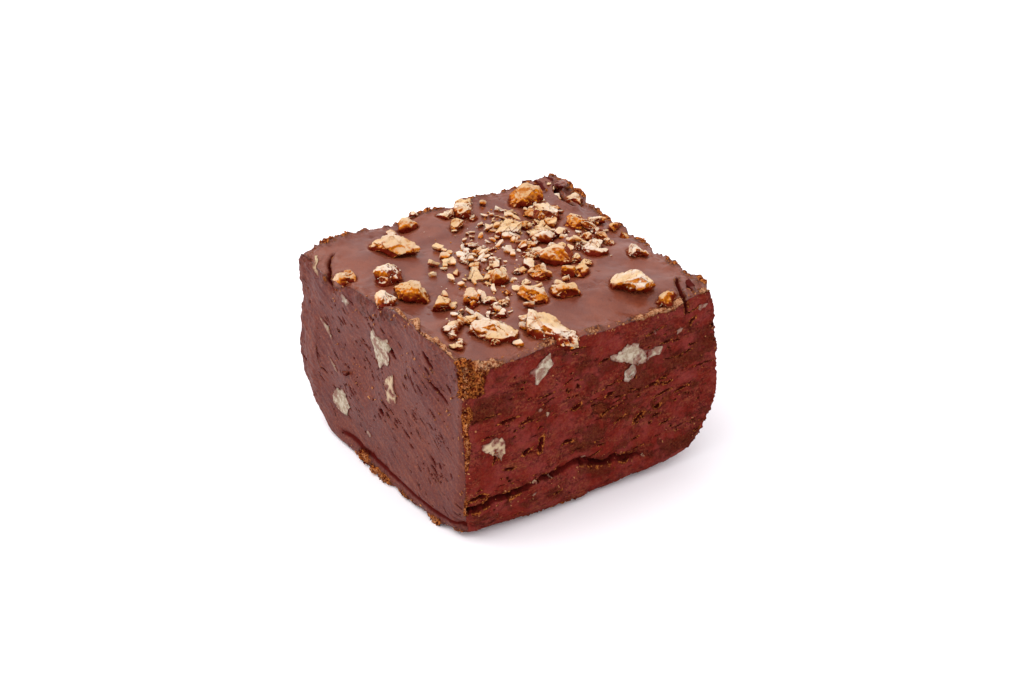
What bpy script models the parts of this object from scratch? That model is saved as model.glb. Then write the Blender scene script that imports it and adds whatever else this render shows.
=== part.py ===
"""A square of chocolate fudge, cut from the corner of a slab and topped with chopped nuts.

Run with: blender --background --python part.py

Metres, +Z up. The origin is the middle of the underside, which is flat and rests on the table.
The two near sides, -X and -Y, were cut with a knife. The two far sides, +X and +Y, were cast
against the pan, so their lower edges are round. Chopped nuts stand in the top, and some that
the knife went through show flush in the two cut sides. Each nut lies in its own pocket.
"""

import math
import random

import bmesh
import bpy
from mathutils import Euler, Matrix, Vector, noise

# Driving dimensions, in metres
SIDE_X = 0.0502                 # between the cut side -X and the cast side +X
SIDE_Y = 0.0508                 # between the cut side -Y and the cast side +Y
HEIGHT = 0.0315                 # underside to the plain part of the top
PAN_RADIUS = 0.0150             # round edge where the slab met the pan's floor
PAN_CORNER = 0.0025             # upright round corner between the two cast sides
CURL_RADIUS = 0.0032            # the underside curls up to the cut side -Y
CUT_EDGE_RADIUS = 0.0010        # the underside meets the cut side -X
NEAR_FOOT_RADIUS = 0.0070       # round corner of the foot between the cut sides
NEAR_FOOT_CURL = 0.0026         # how much more the underside curls up at that corner
NEAR_FOOT_REACH = 0.0100        # how far from the corner that goes
RIM_RADIUS = 0.0012             # soft edge around the top
WAVE = 0.0004                   # how far the sides stray from flat
WAVE_LENGTH = 0.0083            # and over what length
SWELL = 0.0004                  # how far the top strays from flat
SWELL_LENGTH = 0.0091           # and over what length
CLEARANCE = 0.0003              # gap between a nut and its pocket
SIDE_PROUD = 0.0003             # how far a cut nut stands out of its side
KERNEL_UNEVEN = 0.50            # how far a nut's kernel strays from round, as a share of its radius
KERNEL_KNOBS = 2.6              # knobs across it
BREAK_DEPTH = (0.42, 0.84)      # how far from its middle a nut is broken, as a share of its reach
BREAK_RISE = (-0.40, 0.90)      # how far a break faces down or up
TOP_LEAN = 0.45                 # how far the first break leans away from level
KNIFE_Y = -0.0256               # where the knife went through, along the front
SHELL_FLAT = 12.0               # faces of a pocket that lie within this angle become one
SKIN_SIDE = 236.0               # the way a nut's kept skin faces, from +X towards +Y
SKIN_LOW = 0.50                 # and how far it faces down
SKIN_KEPT = 0.30                # breaks that face the skin side more than this are left out
SLICE_SIDES = 12                # outline of a nut that was cut through
SLICE_UNEVEN = 0.55             # how far that outline strays, as a share of its half width
SLICE_KNOBS = 3.2               # knobs across it
SLICE_TAPER = 0.30              # how much smaller its ends are than its middle

# Rows of facets along each side of the block
ROWS_X = 20
ROWS_Y = 20
ROWS_Z = 11

# The square was cut by hand, so its corners stray in plan, at the top and at the foot:
# (+X side, +Y side, top): (shift along x, shift along y)
CORNER_SHIFTS = {
    (0, 0, 1): (0.0000, 0.0000),
    (1, 0, 1): (-0.0010, 0.0004),
    (1, 1, 1): (0.0020, -0.0022),
    (0, 1, 1): (0.0010, -0.0004),
    (0, 0, 0): (-0.0006, -0.0020),
    (1, 0, 0): (0.0022, 0.0002),
    (1, 1, 0): (0.0018, -0.0022),
    (0, 1, 0): (-0.0004, -0.0004),
}

FUDGE_COLOUR = (0.150, 0.035, 0.022, 1.0)
NUT_COLOUR = (0.660, 0.420, 0.200, 1.0)

# Lifts and dips of the top: (x, y, height, reach along x, reach along y), in shares of half a side
TOP_FORMS = [
    (-1.00, -0.50, 0.0020, 0.08, 0.44),     # burr that the knife drew up along the -X rim
    (-1.00, -0.98, 0.0010, 0.14, 0.16),     # its end by the near corner
    (-1.00, 0.75, -0.0020, 0.12, 0.36),     # the lip that sags at the far end of that rim
    (0.00, -1.00, -0.0010, 1.20, 0.20),     # the -Y rim lies a little low
    (0.96, 0.94, 0.0004, 0.16, 0.14),       # peak where the slab climbed the pan's corner
    (1.00, 0.25, -0.0006, 0.16, 0.50),      # dip of the +X rim
    (0.66, -1.00, -0.0014, 0.11, 0.13),     # tear in the -Y rim
    (-1.00, 0.55, -0.0012, 0.14, 0.08),     # tear in the -X rim
    (0.20, -0.15, 0.0006, 0.50, 0.50),      # the middle of the top stands a little high
]

# The near top corner crumbled away: middle of the hollow, its three sizes and its turn in degrees
BROKEN_CORNER_PLACE = (-0.0266, -0.0272, 0.0312)
BROKEN_CORNER_SIZE = (0.0100, 0.0100, 0.0130)
BROKEN_CORNER_TURN = (-28.0, 24.0, 30.0)

# Nuts in the top: name, place in x and y, length, width, thickness and turn. Millimetres and
# degrees. How each is tilted, sunk and broken is left to chance in nut_chances.
TOP_NUTS = [
    ("nut_walnut_half", -6, -21, 12, 7, 4.5, -75),
    ("nut_big_wedge", 13, -17, 11, 7, 4, -75),
    ("nut_near_rim_long", -14, -19, 10, 5, 3.5, -45),
    ("nut_left_cluster", -12, 15, 11, 6, 4, -60),
    ("nut_middle_dark", 8, -3, 9, 5, 4, -45),
    ("nut_far_branched", 16, 11, 7, 6, 4, 0),
    ("nut_tan_ridge", 3, -13, 6.5, 4.5, 3, -45),
    ("nut_left_tan", -17, 0, 8, 6, 4.5, -45),
    ("nut_left_split", -18, 8, 6, 5, 4, -75),
    ("nut_far_star", 7, 9, 7, 5, 3, 45),
    ("nut_far_corner", 16, 18, 7, 7, 4.5, 30),
    ("nut_far_rim_orange", -6, 21, 4, 4, 2.5, 45),
    ("nut_far_rim_pale", 5, 20, 5, 4, 3.5, 75),
    ("nut_triangle", 11, 4, 5.5, 4, 3, 0),
    ("nut_right_flat", 20, -9, 5.5, 4, 2.5, -45),
    ("nut_middle_brown", -2, -12, 6, 5, 3, -30),
    ("nut_middle_orange", 3, -7, 4.5, 3.5, 3, -30),
    ("nut_centre_upright", -4, -4, 5, 4, 4, 60),
    ("nut_near_left_flat", -18, -13, 6, 3.5, 2.5, 15),
    ("nut_left_small", -16, -6, 4.5, 3, 3, -30),
    ("nut_right_orange", 9, -9, 4.5, 3, 2.5, 60),
    ("nut_far_orange", 19, 5, 5.5, 4, 3, -30),
    ("nut_left_round", -23, 0, 3.5, 3.5, 3, 0),
    ("nut_left_tear", -23, 13, 5, 4, 2.5, 90),
    ("nut_right_tear", 16, -23, 6, 3.5, 3, -15),
    ("nut_right_pale", 15, -5, 5, 3.5, 2.5, -30),
    ("nut_middle_left", -11, -7, 5, 3.5, 3, -30),
]

# Nuts cut flush in a side: name, side, place along it and height, length, height, depth, turn,
# lobes, and how deep they are. Millimetres and degrees.
SIDE_NUTS = [
    ("nut_cut_left_upper", "-X", -1, 24, 6, 6, 2.5, 20, 3, 0.10),
    ("nut_cut_left_rod", "-X", -4, 17.5, 3.5, 7, 2.5, 15, 2, 0.10),
    ("nut_cut_left_low", "-X", 12, 8, 6, 5, 2, 25, 2, 0.10),
    ("nut_cut_front_oval", "-Y", -10, 27, 6, 3, 2, 30, 2, 0.10),
    ("nut_cut_front_wide", "-Y", 9, 24, 11, 3.5, 2.5, -15, 4, 0.30),
    ("nut_cut_front_corner", "-Y", -19, 16.5, 6, 3, 2, -45, 3, 0.20),
]


def add_material(name, colour, roughness):
    """Return a plain Principled material."""
    material = bpy.data.materials.new(name)
    material.use_nodes = True
    shader = material.node_tree.nodes["Principled BSDF"]
    shader.inputs["Base Color"].default_value = colour
    shader.inputs["Roughness"].default_value = roughness
    shader.inputs["Metallic"].default_value = 0.0
    return material


def add_object(name, mesh_builder, collection, material=None):
    """Make an object from a bmesh that is freed here."""
    mesh = bpy.data.meshes.new(name)
    mesh_builder.to_mesh(mesh)
    mesh_builder.free()
    made = bpy.data.objects.new(name, mesh)
    collection.objects.link(made)
    if material:
        mesh.materials.append(material)
    return made


def spread(share):
    """Bring the rows closer together towards both ends of a side."""
    return 0.55 * share + 0.45 * (0.5 - 0.5 * math.cos(math.pi * share))


def onto_arc(first, second, radius):
    """Round the corner between two sides, for a point given by its distances from them."""
    reach_first = radius - first
    reach_second = radius - second
    if reach_first <= 0.0 or reach_second <= 0.0:
        return first, second
    shrink = max(reach_first, reach_second) / math.hypot(reach_first, reach_second)
    return radius - reach_first * shrink, radius - reach_second * shrink


def bump(distance):
    """A smooth hump that is 1 in the middle and fades out with distance."""
    return math.exp(-distance * distance)


def top_relief(x, y):
    """How far the top stands above or below its plain height at a place."""
    across = x / (SIDE_X / 2)
    along = y / (SIDE_Y / 2)
    height = SWELL * 2.0 * noise.noise(Vector((x / SWELL_LENGTH, y / SWELL_LENGTH, 3.7)))
    for place_x, place_y, lift, reach_x, reach_y in TOP_FORMS:
        height += lift * bump((across - place_x) / reach_x) * bump((along - place_y) / reach_y)
    return height


def side_wave(position, seed):
    """A slow wave of the sides, in and out."""
    return WAVE * 2.0 * noise.noise(position / WAVE_LENGTH + Vector((seed, 0.0, 0.0)))


def hand_cut(x, y, z):
    """Where a point of the square block lies once its corners have strayed."""
    share_x = x / SIDE_X + 0.5
    share_y = y / SIDE_Y + 0.5
    share_z = min(1.0, z / HEIGHT)
    for (far_x, far_y, top), (shift_x, shift_y) in CORNER_SHIFTS.items():
        weight = share_x if far_x else 1.0 - share_x
        weight *= share_y if far_y else 1.0 - share_y
        weight *= share_z if top else 1.0 - share_z
        x += shift_x * weight
        y += shift_y * weight
    return Vector((x, y, z))


def shape_point(point):
    """Turn a point of the plain box, given in shares from 0 to 1, into one of the fudge."""
    from_cut_x = spread(point.x) * SIDE_X
    from_cut_y = spread(point.y) * SIDE_Y
    from_cast_x = SIDE_X - from_cut_x
    from_cast_y = SIDE_Y - from_cut_y
    height = HEIGHT + top_relief(from_cut_x - SIDE_X / 2, from_cut_y - SIDE_Y / 2)
    z = spread(point.z) * height

    # The upright corners, cast and cut, then the rim of the top
    from_cast_x, from_cast_y = onto_arc(from_cast_x, from_cast_y, PAN_CORNER)
    near_corner = RIM_RADIUS + (NEAR_FOOT_RADIUS - RIM_RADIUS) * (1.0 - z / height) ** 4
    from_cut_x, from_cut_y = onto_arc(from_cut_x, from_cut_y, near_corner)
    from_top = height - z
    from_cast_x, from_top = onto_arc(from_cast_x, from_top, RIM_RADIUS)
    from_cast_y, from_top = onto_arc(from_cast_y, from_top, RIM_RADIUS)
    from_cut_x, from_top = onto_arc(from_cut_x, from_top, RIM_RADIUS)
    from_cut_y, from_top = onto_arc(from_cut_y, from_top, RIM_RADIUS)
    z = height - from_top

    # Foot of the block: cast sides first, then the cut ones
    from_cast_x, z = onto_arc(from_cast_x, z, PAN_RADIUS)
    from_cast_y, z = onto_arc(from_cast_y, z, PAN_RADIUS)
    curl = NEAR_FOOT_CURL * bump(math.hypot(from_cut_x, from_cut_y) / NEAR_FOOT_REACH)
    from_cut_x, z = onto_arc(from_cut_x, z, CUT_EDGE_RADIUS + curl)
    from_cut_y, z = onto_arc(from_cut_y, z, CURL_RADIUS + curl)
    x = SIDE_X / 2 - from_cast_x if point.x > 0.5 else from_cut_x - SIDE_X / 2
    y = SIDE_Y / 2 - from_cast_y if point.y > 0.5 else from_cut_y - SIDE_Y / 2

    # Every side waves a little above the foot
    place = Vector((x, y, z))
    above_foot = min(1.0, z / CURL_RADIUS)
    wave_x = side_wave(place, 5.0) * abs(2.0 * x / SIDE_X) ** 6 * above_foot
    wave_y = side_wave(place, 9.0) * abs(2.0 * y / SIDE_Y) ** 6 * above_foot
    return hand_cut(x + wave_x, y + wave_y, z)


def fudge_block(collection, material):
    """The block of fudge, before the pockets are cut."""
    block = bmesh.new()
    bmesh.ops.create_cube(block, size=1.0, matrix=Matrix.Translation((0.5, 0.5, 0.5)))
    for axis, rows in enumerate((ROWS_X, ROWS_Y, ROWS_Z)):
        edges = []
        for edge in block.edges:
            run = edge.verts[1].co - edge.verts[0].co
            if abs(run[axis]) > 0.9 * run.length:
                edges.append(edge)
        bmesh.ops.subdivide_edges(block, edges=edges, cuts=rows - 1, use_grid_fill=True)
    for vertex in block.verts:
        vertex.co = shape_point(vertex.co)
    underside = [face for face in block.faces if face.calc_center_median().z < 1e-6]
    bmesh.ops.dissolve_faces(block, faces=underside)
    bmesh.ops.triangulate(block, faces=block.faces)
    return add_object("fudge", block, collection, material)


def nut_slice(seed, length, width, thickness, lobes, depth):
    """A lobed slab of nut with knobbly sides, wider in the middle of its thickness."""
    lump = bmesh.new()
    bmesh.ops.create_cone(lump, cap_ends=True, segments=SLICE_SIDES, radius1=0.5, radius2=0.5, depth=1.0)
    upright = [edge for edge in lump.edges if abs(edge.verts[0].co.z - edge.verts[1].co.z) > 0.5]
    bmesh.ops.subdivide_edges(lump, edges=upright, cuts=1, use_grid_fill=True)
    for vertex in lump.verts:
        angle = math.atan2(vertex.co.y, vertex.co.x)
        level = 2.0 * vertex.co.z
        knob = Vector((vertex.co.x * SLICE_KNOBS, vertex.co.y * SLICE_KNOBS, seed * 3.1 + level))
        reach = 1.0 + depth * math.cos(lobes * angle + seed) + SLICE_UNEVEN * noise.noise(knob)
        reach *= 1.0 - SLICE_TAPER * abs(level)
        vertex.co.x *= reach
        vertex.co.y *= reach
    fit_box(lump, length, width, thickness)
    bmesh.ops.triangulate(lump, faces=lump.faces)
    return lump


def nut_chunk(seed, size, bearing, breaks):
    """A chopped nut: a knobbly kernel, broken flat on several sides, but not where its skin is kept."""
    chance = random.Random(seed)
    lump = bmesh.new()
    bmesh.ops.create_icosphere(lump, subdivisions=2, radius=0.5)
    for vertex in lump.verts:
        knob = vertex.co * KERNEL_KNOBS + Vector((seed * 3.1, 0.0, 0.0))
        vertex.co *= 1.0 + KERNEL_UNEVEN * noise.noise(knob)
    fit_box(lump, *size)
    bmesh.ops.transform(lump, matrix=bearing, verts=lump.verts)
    skin_side = math.radians(SKIN_SIDE)
    skin_way = Vector((math.cos(skin_side), math.sin(skin_side), -SKIN_LOW)).normalized()
    for index in range(breaks):
        around = chance.uniform(0.0, 2.0 * math.pi)
        rise = chance.uniform(*BREAK_RISE)
        depth = chance.uniform(*BREAK_DEPTH)
        outward = Vector((math.cos(around), math.sin(around), rise))
        if index == 0:
            outward = Vector((TOP_LEAN * math.cos(around), TOP_LEAN * math.sin(around), 1.0))
        outward.normalize()
        if outward.dot(skin_way) < SKIN_KEPT:
            reach = max(vertex.co.dot(outward) for vertex in lump.verts)
            flatten(lump, outward * reach * depth, outward)
    bmesh.ops.triangulate(lump, faces=lump.faces)
    return lump


def flatten(lump, point, normal):
    """Cut a lump off flat beyond a plane."""
    geometry = lump.verts[:] + lump.edges[:] + lump.faces[:]
    cut = bmesh.ops.bisect_plane(lump, geom=geometry, dist=1e-6, plane_co=point, plane_no=normal,
                                 clear_outer=True)
    rim = [item for item in cut["geom_cut"] if isinstance(item, bmesh.types.BMEdge)]
    bmesh.ops.holes_fill(lump, edges=rim, sides=0)


def fit_box(lump, length, width, thickness):
    """Centre a lump and stretch it to its three sizes."""
    low = Vector([min(vertex.co[axis] for vertex in lump.verts) for axis in range(3)])
    high = Vector([max(vertex.co[axis] for vertex in lump.verts) for axis in range(3)])
    middle = (low + high) / 2
    sizes = (length, width, thickness)
    for vertex in lump.verts:
        for axis in range(3):
            share = (vertex.co[axis] - middle[axis]) / (high[axis] - low[axis])
            vertex.co[axis] = share * sizes[axis]


def grown_copy(lump, amount):
    """A copy of a closed lump, pushed out along its normals."""
    grown = lump.copy()
    grown.normal_update()
    for vertex in grown.verts:
        vertex.co += vertex.normal * amount
    return grown


def shell_around(lump, amount):
    """A plain closed shell around a lump, clear of it on every side."""
    lump.normal_update()
    shell = bmesh.new()
    for vertex in lump.verts:
        shell.verts.new(vertex.co + vertex.normal * amount)
    wrapped = bmesh.ops.convex_hull(shell, input=shell.verts)
    spare = {item for item in wrapped["geom_interior"] + wrapped["geom_unused"]}
    spare = [item for item in spare if isinstance(item, bmesh.types.BMVert)]
    bmesh.ops.delete(shell, geom=spare, context="VERTS")
    bmesh.ops.recalc_face_normals(shell, faces=shell.faces)
    flat = math.radians(SHELL_FLAT)
    bmesh.ops.dissolve_limit(shell, angle_limit=flat, verts=shell.verts, edges=shell.edges)
    bmesh.ops.triangulate(shell, faces=shell.faces)
    return shell


def cut_pocket(fudge, cutter):
    """Take the shape of one cutter out of the fudge."""
    boolean = fudge.modifiers.new("pocket_" + cutter.name, "BOOLEAN")
    boolean.operation = "DIFFERENCE"
    boolean.object = cutter


def add_cutter(name, lump, cutters):
    """Keep a cutter out of the render, drawn as wire."""
    cutter = add_object(name, lump, cutters)
    cutter.hide_render = True
    cutter.display_type = "WIRE"
    return cutter


def add_nut(name, lump, pocket, fudge, parts, cutters, material):
    """Keep a nut as a part and take its pocket out of the fudge."""
    cut_pocket(fudge, add_cutter("pocket_" + name, pocket, cutters))
    return add_object(name, lump, parts, material)


def nut_chances(name):
    """By chance: how a nut rolls and pitches, how far it is sunk, and how often it is broken."""
    chance = random.Random(name)
    roll = math.radians(chance.uniform(-20.0, 20.0))
    pitch = math.radians(chance.uniform(-20.0, 20.0))
    return roll, pitch, chance.uniform(0.32, 0.40), chance.randint(5, 8), float(chance.randint(1, 99))


def add_top_nut(nut, fudge, parts, cutters, material):
    """One nut in the top, tilted and sunk, and cut through where the knife met it."""
    name = nut[0]
    x, y, length, width, thickness = (value / 1000.0 for value in nut[1:6])
    turn = math.radians(nut[6])
    roll, pitch, sunk, breaks, seed = nut_chances(name)
    bearing = Euler((roll, pitch, turn)).to_matrix().to_4x4()
    lump = nut_chunk(seed, (length, width, thickness), bearing, breaks)
    surface = HEIGHT + top_relief(x, y)
    place = Vector((x, y, surface + thickness * (0.5 - sunk)))
    bmesh.ops.translate(lump, vec=place, verts=lump.verts)
    if min(vertex.co.y for vertex in lump.verts) < KNIFE_Y:
        flatten(lump, Vector((0.0, KNIFE_Y, 0.0)), Vector((0.0, -1.0, 0.0)))
        bmesh.ops.triangulate(lump, faces=lump.faces)
    pocket = shell_around(lump, CLEARANCE)
    return add_nut(name, lump, pocket, fudge, parts, cutters, material)


def add_side_nut(nut, fudge, parts, cutters, material):
    """One nut that the knife went through, flat and almost flush in its side."""
    name, side = nut[0], nut[1]
    seed = float(len(name))
    along, height, length, tall, deep = (value / 1000.0 for value in nut[2:7])
    lump = nut_slice(seed, length, tall, 2.0 * deep, *nut[8:10])
    spin = Matrix.Rotation(math.radians(nut[7]), 4, "Z")
    if side == "-X":
        stand = Matrix(((0, 0, -1), (-1, 0, 0), (0, 1, 0))).to_4x4()
        middle = hand_cut(-SIDE_X / 2, along, height)
        outward = Vector((-1.0, 0.0, 0.0))
    else:
        stand = Matrix(((1, 0, 0), (0, 0, -1), (0, 1, 0))).to_4x4()
        middle = hand_cut(along, -SIDE_Y / 2, height)
        outward = Vector((0.0, -1.0, 0.0))
    bmesh.ops.transform(lump, matrix=Matrix.Translation(middle) @ stand @ spin, verts=lump.verts)
    pocket = grown_copy(lump, CLEARANCE)
    flatten(lump, middle + outward * SIDE_PROUD, outward)
    bmesh.ops.triangulate(lump, faces=lump.faces)
    return add_nut(name, lump, pocket, fudge, parts, cutters, material)


def crumble_corner(fudge, cutters):
    """Hollow out the near top corner."""
    hollow = nut_slice(3.0, *BROKEN_CORNER_SIZE, 3, 0.05)
    bearing = Euler([math.radians(angle) for angle in BROKEN_CORNER_TURN]).to_matrix().to_4x4()
    place = Matrix.Translation(BROKEN_CORNER_PLACE) @ bearing
    bmesh.ops.transform(hollow, matrix=place, verts=hollow.verts)
    cut_pocket(fudge, add_cutter("broken_corner", hollow, cutters))


def centre_on_base(parts, cutters):
    """Stand everything on a frame that brings the middle of the underside to the origin."""
    frame = bpy.data.objects.new("fudge_frame", None)
    parts.objects.link(frame)
    corners = [vertex.co for thing in parts.objects if thing.type == "MESH" for vertex in thing.data.vertices]
    middle_x = (min(co.x for co in corners) + max(co.x for co in corners)) / 2
    middle_y = (min(co.y for co in corners) + max(co.y for co in corners)) / 2
    frame.location = (-middle_x, -middle_y, 0.0)
    for thing in list(parts.objects) + list(cutters.objects):
        if thing != frame:
            thing.parent = frame


def main():
    """Build the fudge, its nuts and their pockets."""
    for thing in list(bpy.data.objects):
        bpy.data.objects.remove(thing, do_unlink=True)
    parts = bpy.data.collections.new("chocolate_fudge")
    cutters = bpy.data.collections.new("cutters")
    bpy.context.scene.collection.children.link(parts)
    bpy.context.scene.collection.children.link(cutters)
    chocolate = add_material("chocolate", FUDGE_COLOUR, 0.55)
    nut = add_material("nut", NUT_COLOUR, 0.60)
    fudge = fudge_block(parts, chocolate)
    crumble_corner(fudge, cutters)
    for row in TOP_NUTS:
        add_top_nut(row, fudge, parts, cutters, nut)
    for row in SIDE_NUTS:
        add_side_nut(row, fudge, parts, cutters, nut)
    centre_on_base(parts, cutters)


main()
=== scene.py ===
"""Looks of a square of chocolate fudge with chopped nuts: skin, nuts, crumbs, light and camera.

Metres, +Z up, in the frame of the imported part. The two near sides, -X and -Y, were cut with a
knife, and the two far ones were cast against the pan. Sizes that the block of fudge is worked
out from are the part's own named sizes. Nuts keep the places that the frame gives them.
"""

import math
import random

import bmesh
import bpy
import numpy as np
from mathutils import Euler, Matrix, Vector, noise
from mathutils.bvhtree import BVHTree
from mathutils.kdtree import KDTree


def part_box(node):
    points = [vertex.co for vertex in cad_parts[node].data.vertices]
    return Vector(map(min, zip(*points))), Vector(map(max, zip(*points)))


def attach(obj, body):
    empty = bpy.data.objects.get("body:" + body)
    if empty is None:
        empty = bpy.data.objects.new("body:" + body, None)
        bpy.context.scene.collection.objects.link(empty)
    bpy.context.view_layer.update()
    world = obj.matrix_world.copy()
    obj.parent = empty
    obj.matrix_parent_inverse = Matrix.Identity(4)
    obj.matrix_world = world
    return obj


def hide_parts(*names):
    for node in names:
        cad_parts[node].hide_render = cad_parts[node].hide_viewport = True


MM = 0.001

# The block's own sizes, as the part has them
SIDE_X = 0.0502
SIDE_Y = 0.0508
HEIGHT = 0.0315
PAN_RADIUS = 0.0150
PAN_CORNER = 0.0025
CURL_RADIUS = 0.0032
CUT_EDGE_RADIUS = 0.0010
NEAR_FOOT_RADIUS = 0.0070
NEAR_FOOT_CURL = 0.0026
NEAR_FOOT_REACH = 0.0100
RIM_RADIUS = 0.0012
WAVE = 0.0004
WAVE_LENGTH = 0.0083
SWELL = 0.0004
SWELL_LENGTH = 0.0091
CORNER_SHIFTS = {
    (0, 0, 1): (0.0000, 0.0000),
    (1, 0, 1): (-0.0010, 0.0004),
    (1, 1, 1): (0.0020, -0.0022),
    (0, 1, 1): (0.0010, -0.0004),
    (0, 0, 0): (-0.0006, -0.0020),
    (1, 0, 0): (0.0022, 0.0002),
    (1, 1, 0): (0.0018, -0.0022),
    (0, 1, 0): (-0.0004, -0.0004),
}
TOP_FORMS = [
    (-1.00, -0.50, 0.0020, 0.08, 0.44),
    (-1.00, -0.98, 0.0010, 0.14, 0.16),
    (-1.00, 0.75, -0.0020, 0.12, 0.36),
    (0.00, -1.00, -0.0010, 1.20, 0.20),
    (0.96, 0.94, 0.0004, 0.16, 0.14),
    (1.00, 0.25, -0.0006, 0.16, 0.50),
    (0.66, -1.00, -0.0014, 0.11, 0.13),
    (-1.00, 0.55, -0.0012, 0.14, 0.08),
    (0.20, -0.15, 0.0006, 0.50, 0.50),
]

# Rows of the skin's mesh along x, y and z, and how much finer the sides that matter are
SKIN_ROWS = (100, 100, 62)
CUT_SIDE_FINER = 3
TOP_FINER = 1
SKIN_TRIANGLES = 190000

FINE_NUT = 0.00028              # longest edge of a nut's mesh
NUT_BEVEL = 0.00006

# How a nut breaks, as the part has it
KERNEL_UNEVEN = 0.50
KERNEL_KNOBS = 2.6
BREAK_DEPTH = (0.42, 0.84)
BREAK_RISE = (-0.40, 0.90)
TOP_LEAN = 0.45
SKIN_SIDE = 236.0
SKIN_LOW = 0.50
SKIN_KEPT = 0.30
# The way a nut's kept skin faces, towards the camera and down; the finish paints amber there, partly skin and
# partly painted shade
SKIN_AND_SHADE_WAY = (-0.50, -0.74, -0.45)


# ---------------------------------------------------------------- shader expressions

class Shade:
    """One output in a material. Arithmetic on it adds Math nodes."""

    def __init__(self, finish, socket):
        self.finish = finish
        self.socket = socket

    def math(self, operation, first, second=0.0, third=0.0):
        return self.finish.node("ShaderNodeMath", {"operation": operation}, {0: first, 1: second, 2: third})

    def __add__(self, other):
        return self.math("ADD", self, other)

    def __radd__(self, other):
        return self.math("ADD", other, self)

    def __sub__(self, other):
        return self.math("SUBTRACT", self, other)

    def __rsub__(self, other):
        return self.math("SUBTRACT", other, self)

    def __mul__(self, other):
        return self.math("MULTIPLY", self, other)

    def __rmul__(self, other):
        return self.math("MULTIPLY", other, self)

    def __truediv__(self, other):
        return self.math("DIVIDE", self, other)

    def __pow__(self, other):
        return self.math("POWER", self, other)

    def step(self, low, high):
        """0 below low and 1 above high, with a smooth rise between them."""
        settings = {"interpolation_type": "SMOOTHSTEP"}
        return self.finish.node(
            "ShaderNodeMapRange", settings, {"Value": self, "From Min": low, "From Max": high})

    def most(self, other):
        return self.math("MAXIMUM", self, other)


class Finish:
    """A material in the making, with its Principled shader."""

    def __init__(self, name):
        self.material = bpy.data.materials.new(name)
        self.material.use_nodes = True
        self.tree = self.material.node_tree
        self.shader = self.tree.nodes["Principled BSDF"]

    def put(self, socket, value):
        """Link or set one input."""
        if isinstance(value, Shade):
            self.tree.links.new(value.socket, socket)
        else:
            socket.default_value = value

    def node(self, kind, settings=None, inputs=None, output=0):
        """Add a node, its settings first and then its inputs, and return one of its outputs."""
        node = self.tree.nodes.new(kind)
        for setting, value in (settings or {}).items():
            if setting == "stops":
                ramp = node.color_ramp.elements
                while len(ramp) < len(value):
                    ramp.new(0.5)
                for stop, (place, colour) in zip(ramp, value):
                    stop.position = place
                    stop.color = (*colour, 1.0)
            else:
                setattr(node, setting, value)
        for key, value in (inputs or {}).items():
            self.put(node.inputs[key], value)
        return Shade(self, node.outputs[output])

    def place(self):
        return self.node("ShaderNodeTexCoord", output="Object")

    def stretched(self, place, scale, turn=(0.0, 0.0, 0.0)):
        """Places for a pattern that is drawn out along some axis."""
        return self.node("ShaderNodeMapping", {"vector_type": "TEXTURE"},
                         {"Vector": place, "Scale": scale, "Rotation": turn})

    def speckle(self, place, scale, detail=3.0, roughness=0.55):
        return self.node("ShaderNodeTexNoise", {},
                         {"Vector": place, "Scale": scale, "Detail": detail, "Roughness": roughness})

    def cells(self, place, scale, feature="F1"):
        return self.node("ShaderNodeTexVoronoi", {"feature": feature}, {"Vector": place, "Scale": scale})

    def attribute(self, name):
        return self.node("ShaderNodeAttribute", {"attribute_name": name}, output="Fac")

    def blend(self, share, first, second):
        """Mix two colours."""
        colours = [(*c, 1.0) if isinstance(c, tuple) else c for c in (first, second)]
        return self.node(
            "ShaderNodeMix", {"data_type": "RGBA"}, {0: share, 6: colours[0], 7: colours[1]}, output=2)

    def bump(self, height, distance, strength=1.0, below=None):
        inputs = {"Height": height, "Distance": distance, "Strength": strength}
        if below:
            inputs["Normal"] = below
        return self.node("ShaderNodeBump", {}, inputs)

    def set(self, **values):
        """Set or link the shader's own inputs; an underscore stands for a space."""
        for name, value in values.items():
            socket = self.shader.inputs[name.replace("_", " ")]
            self.put(socket, (*value, 1.0) if isinstance(value, tuple) and socket.type == "RGBA" else value)
        return self.material


# ---------------------------------------------------------------- noise over arrays of places

LATTICE = np.random.default_rng(5).uniform(-1.0, 1.0, 65536)


def lattice_value(cells, seed):
    """A repeatable number from -1 to 1 for each whole-numbered cell."""
    key = cells[:, 0] * 73856093 ^ cells[:, 1] * 19349663 ^ cells[:, 2] * 83492791 ^ seed * 26544357
    return LATTICE[key & 65535]


def ripple(places, size, seed):
    """Smooth noise from -1 to 1, with bumps about size across."""
    scaled = places / size
    cells = np.floor(scaled).astype(np.int64)
    share = scaled - cells
    share = share * share * (3.0 - 2.0 * share)
    total = np.zeros(len(places))
    for corner in ((0, 0, 0), (1, 0, 0), (0, 1, 0), (1, 1, 0), (0, 0, 1), (1, 0, 1), (0, 1, 1), (1, 1, 1)):
        weight = np.prod(np.where(np.array(corner) > 0, share, 1.0 - share), axis=1)
        total += weight * lattice_value(cells + np.array(corner), seed)
    return total


def rough(places, size, seed, octaves=3):
    """Noise on several scales, each half as large as the last."""
    total = np.zeros(len(places))
    for octave in range(octaves):
        total += ripple(places, size / 2 ** octave, seed + octave) / 2 ** octave
    return total / (2.0 - 0.5 ** (octaves - 1))


def crumbly(places, size, seed):
    """Torn grain: sharp ridges at 1 around hollows at 0."""
    return 1.0 - np.minimum(1.0, 3.2 * np.abs(rough(places, size, seed, 3)))


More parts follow.
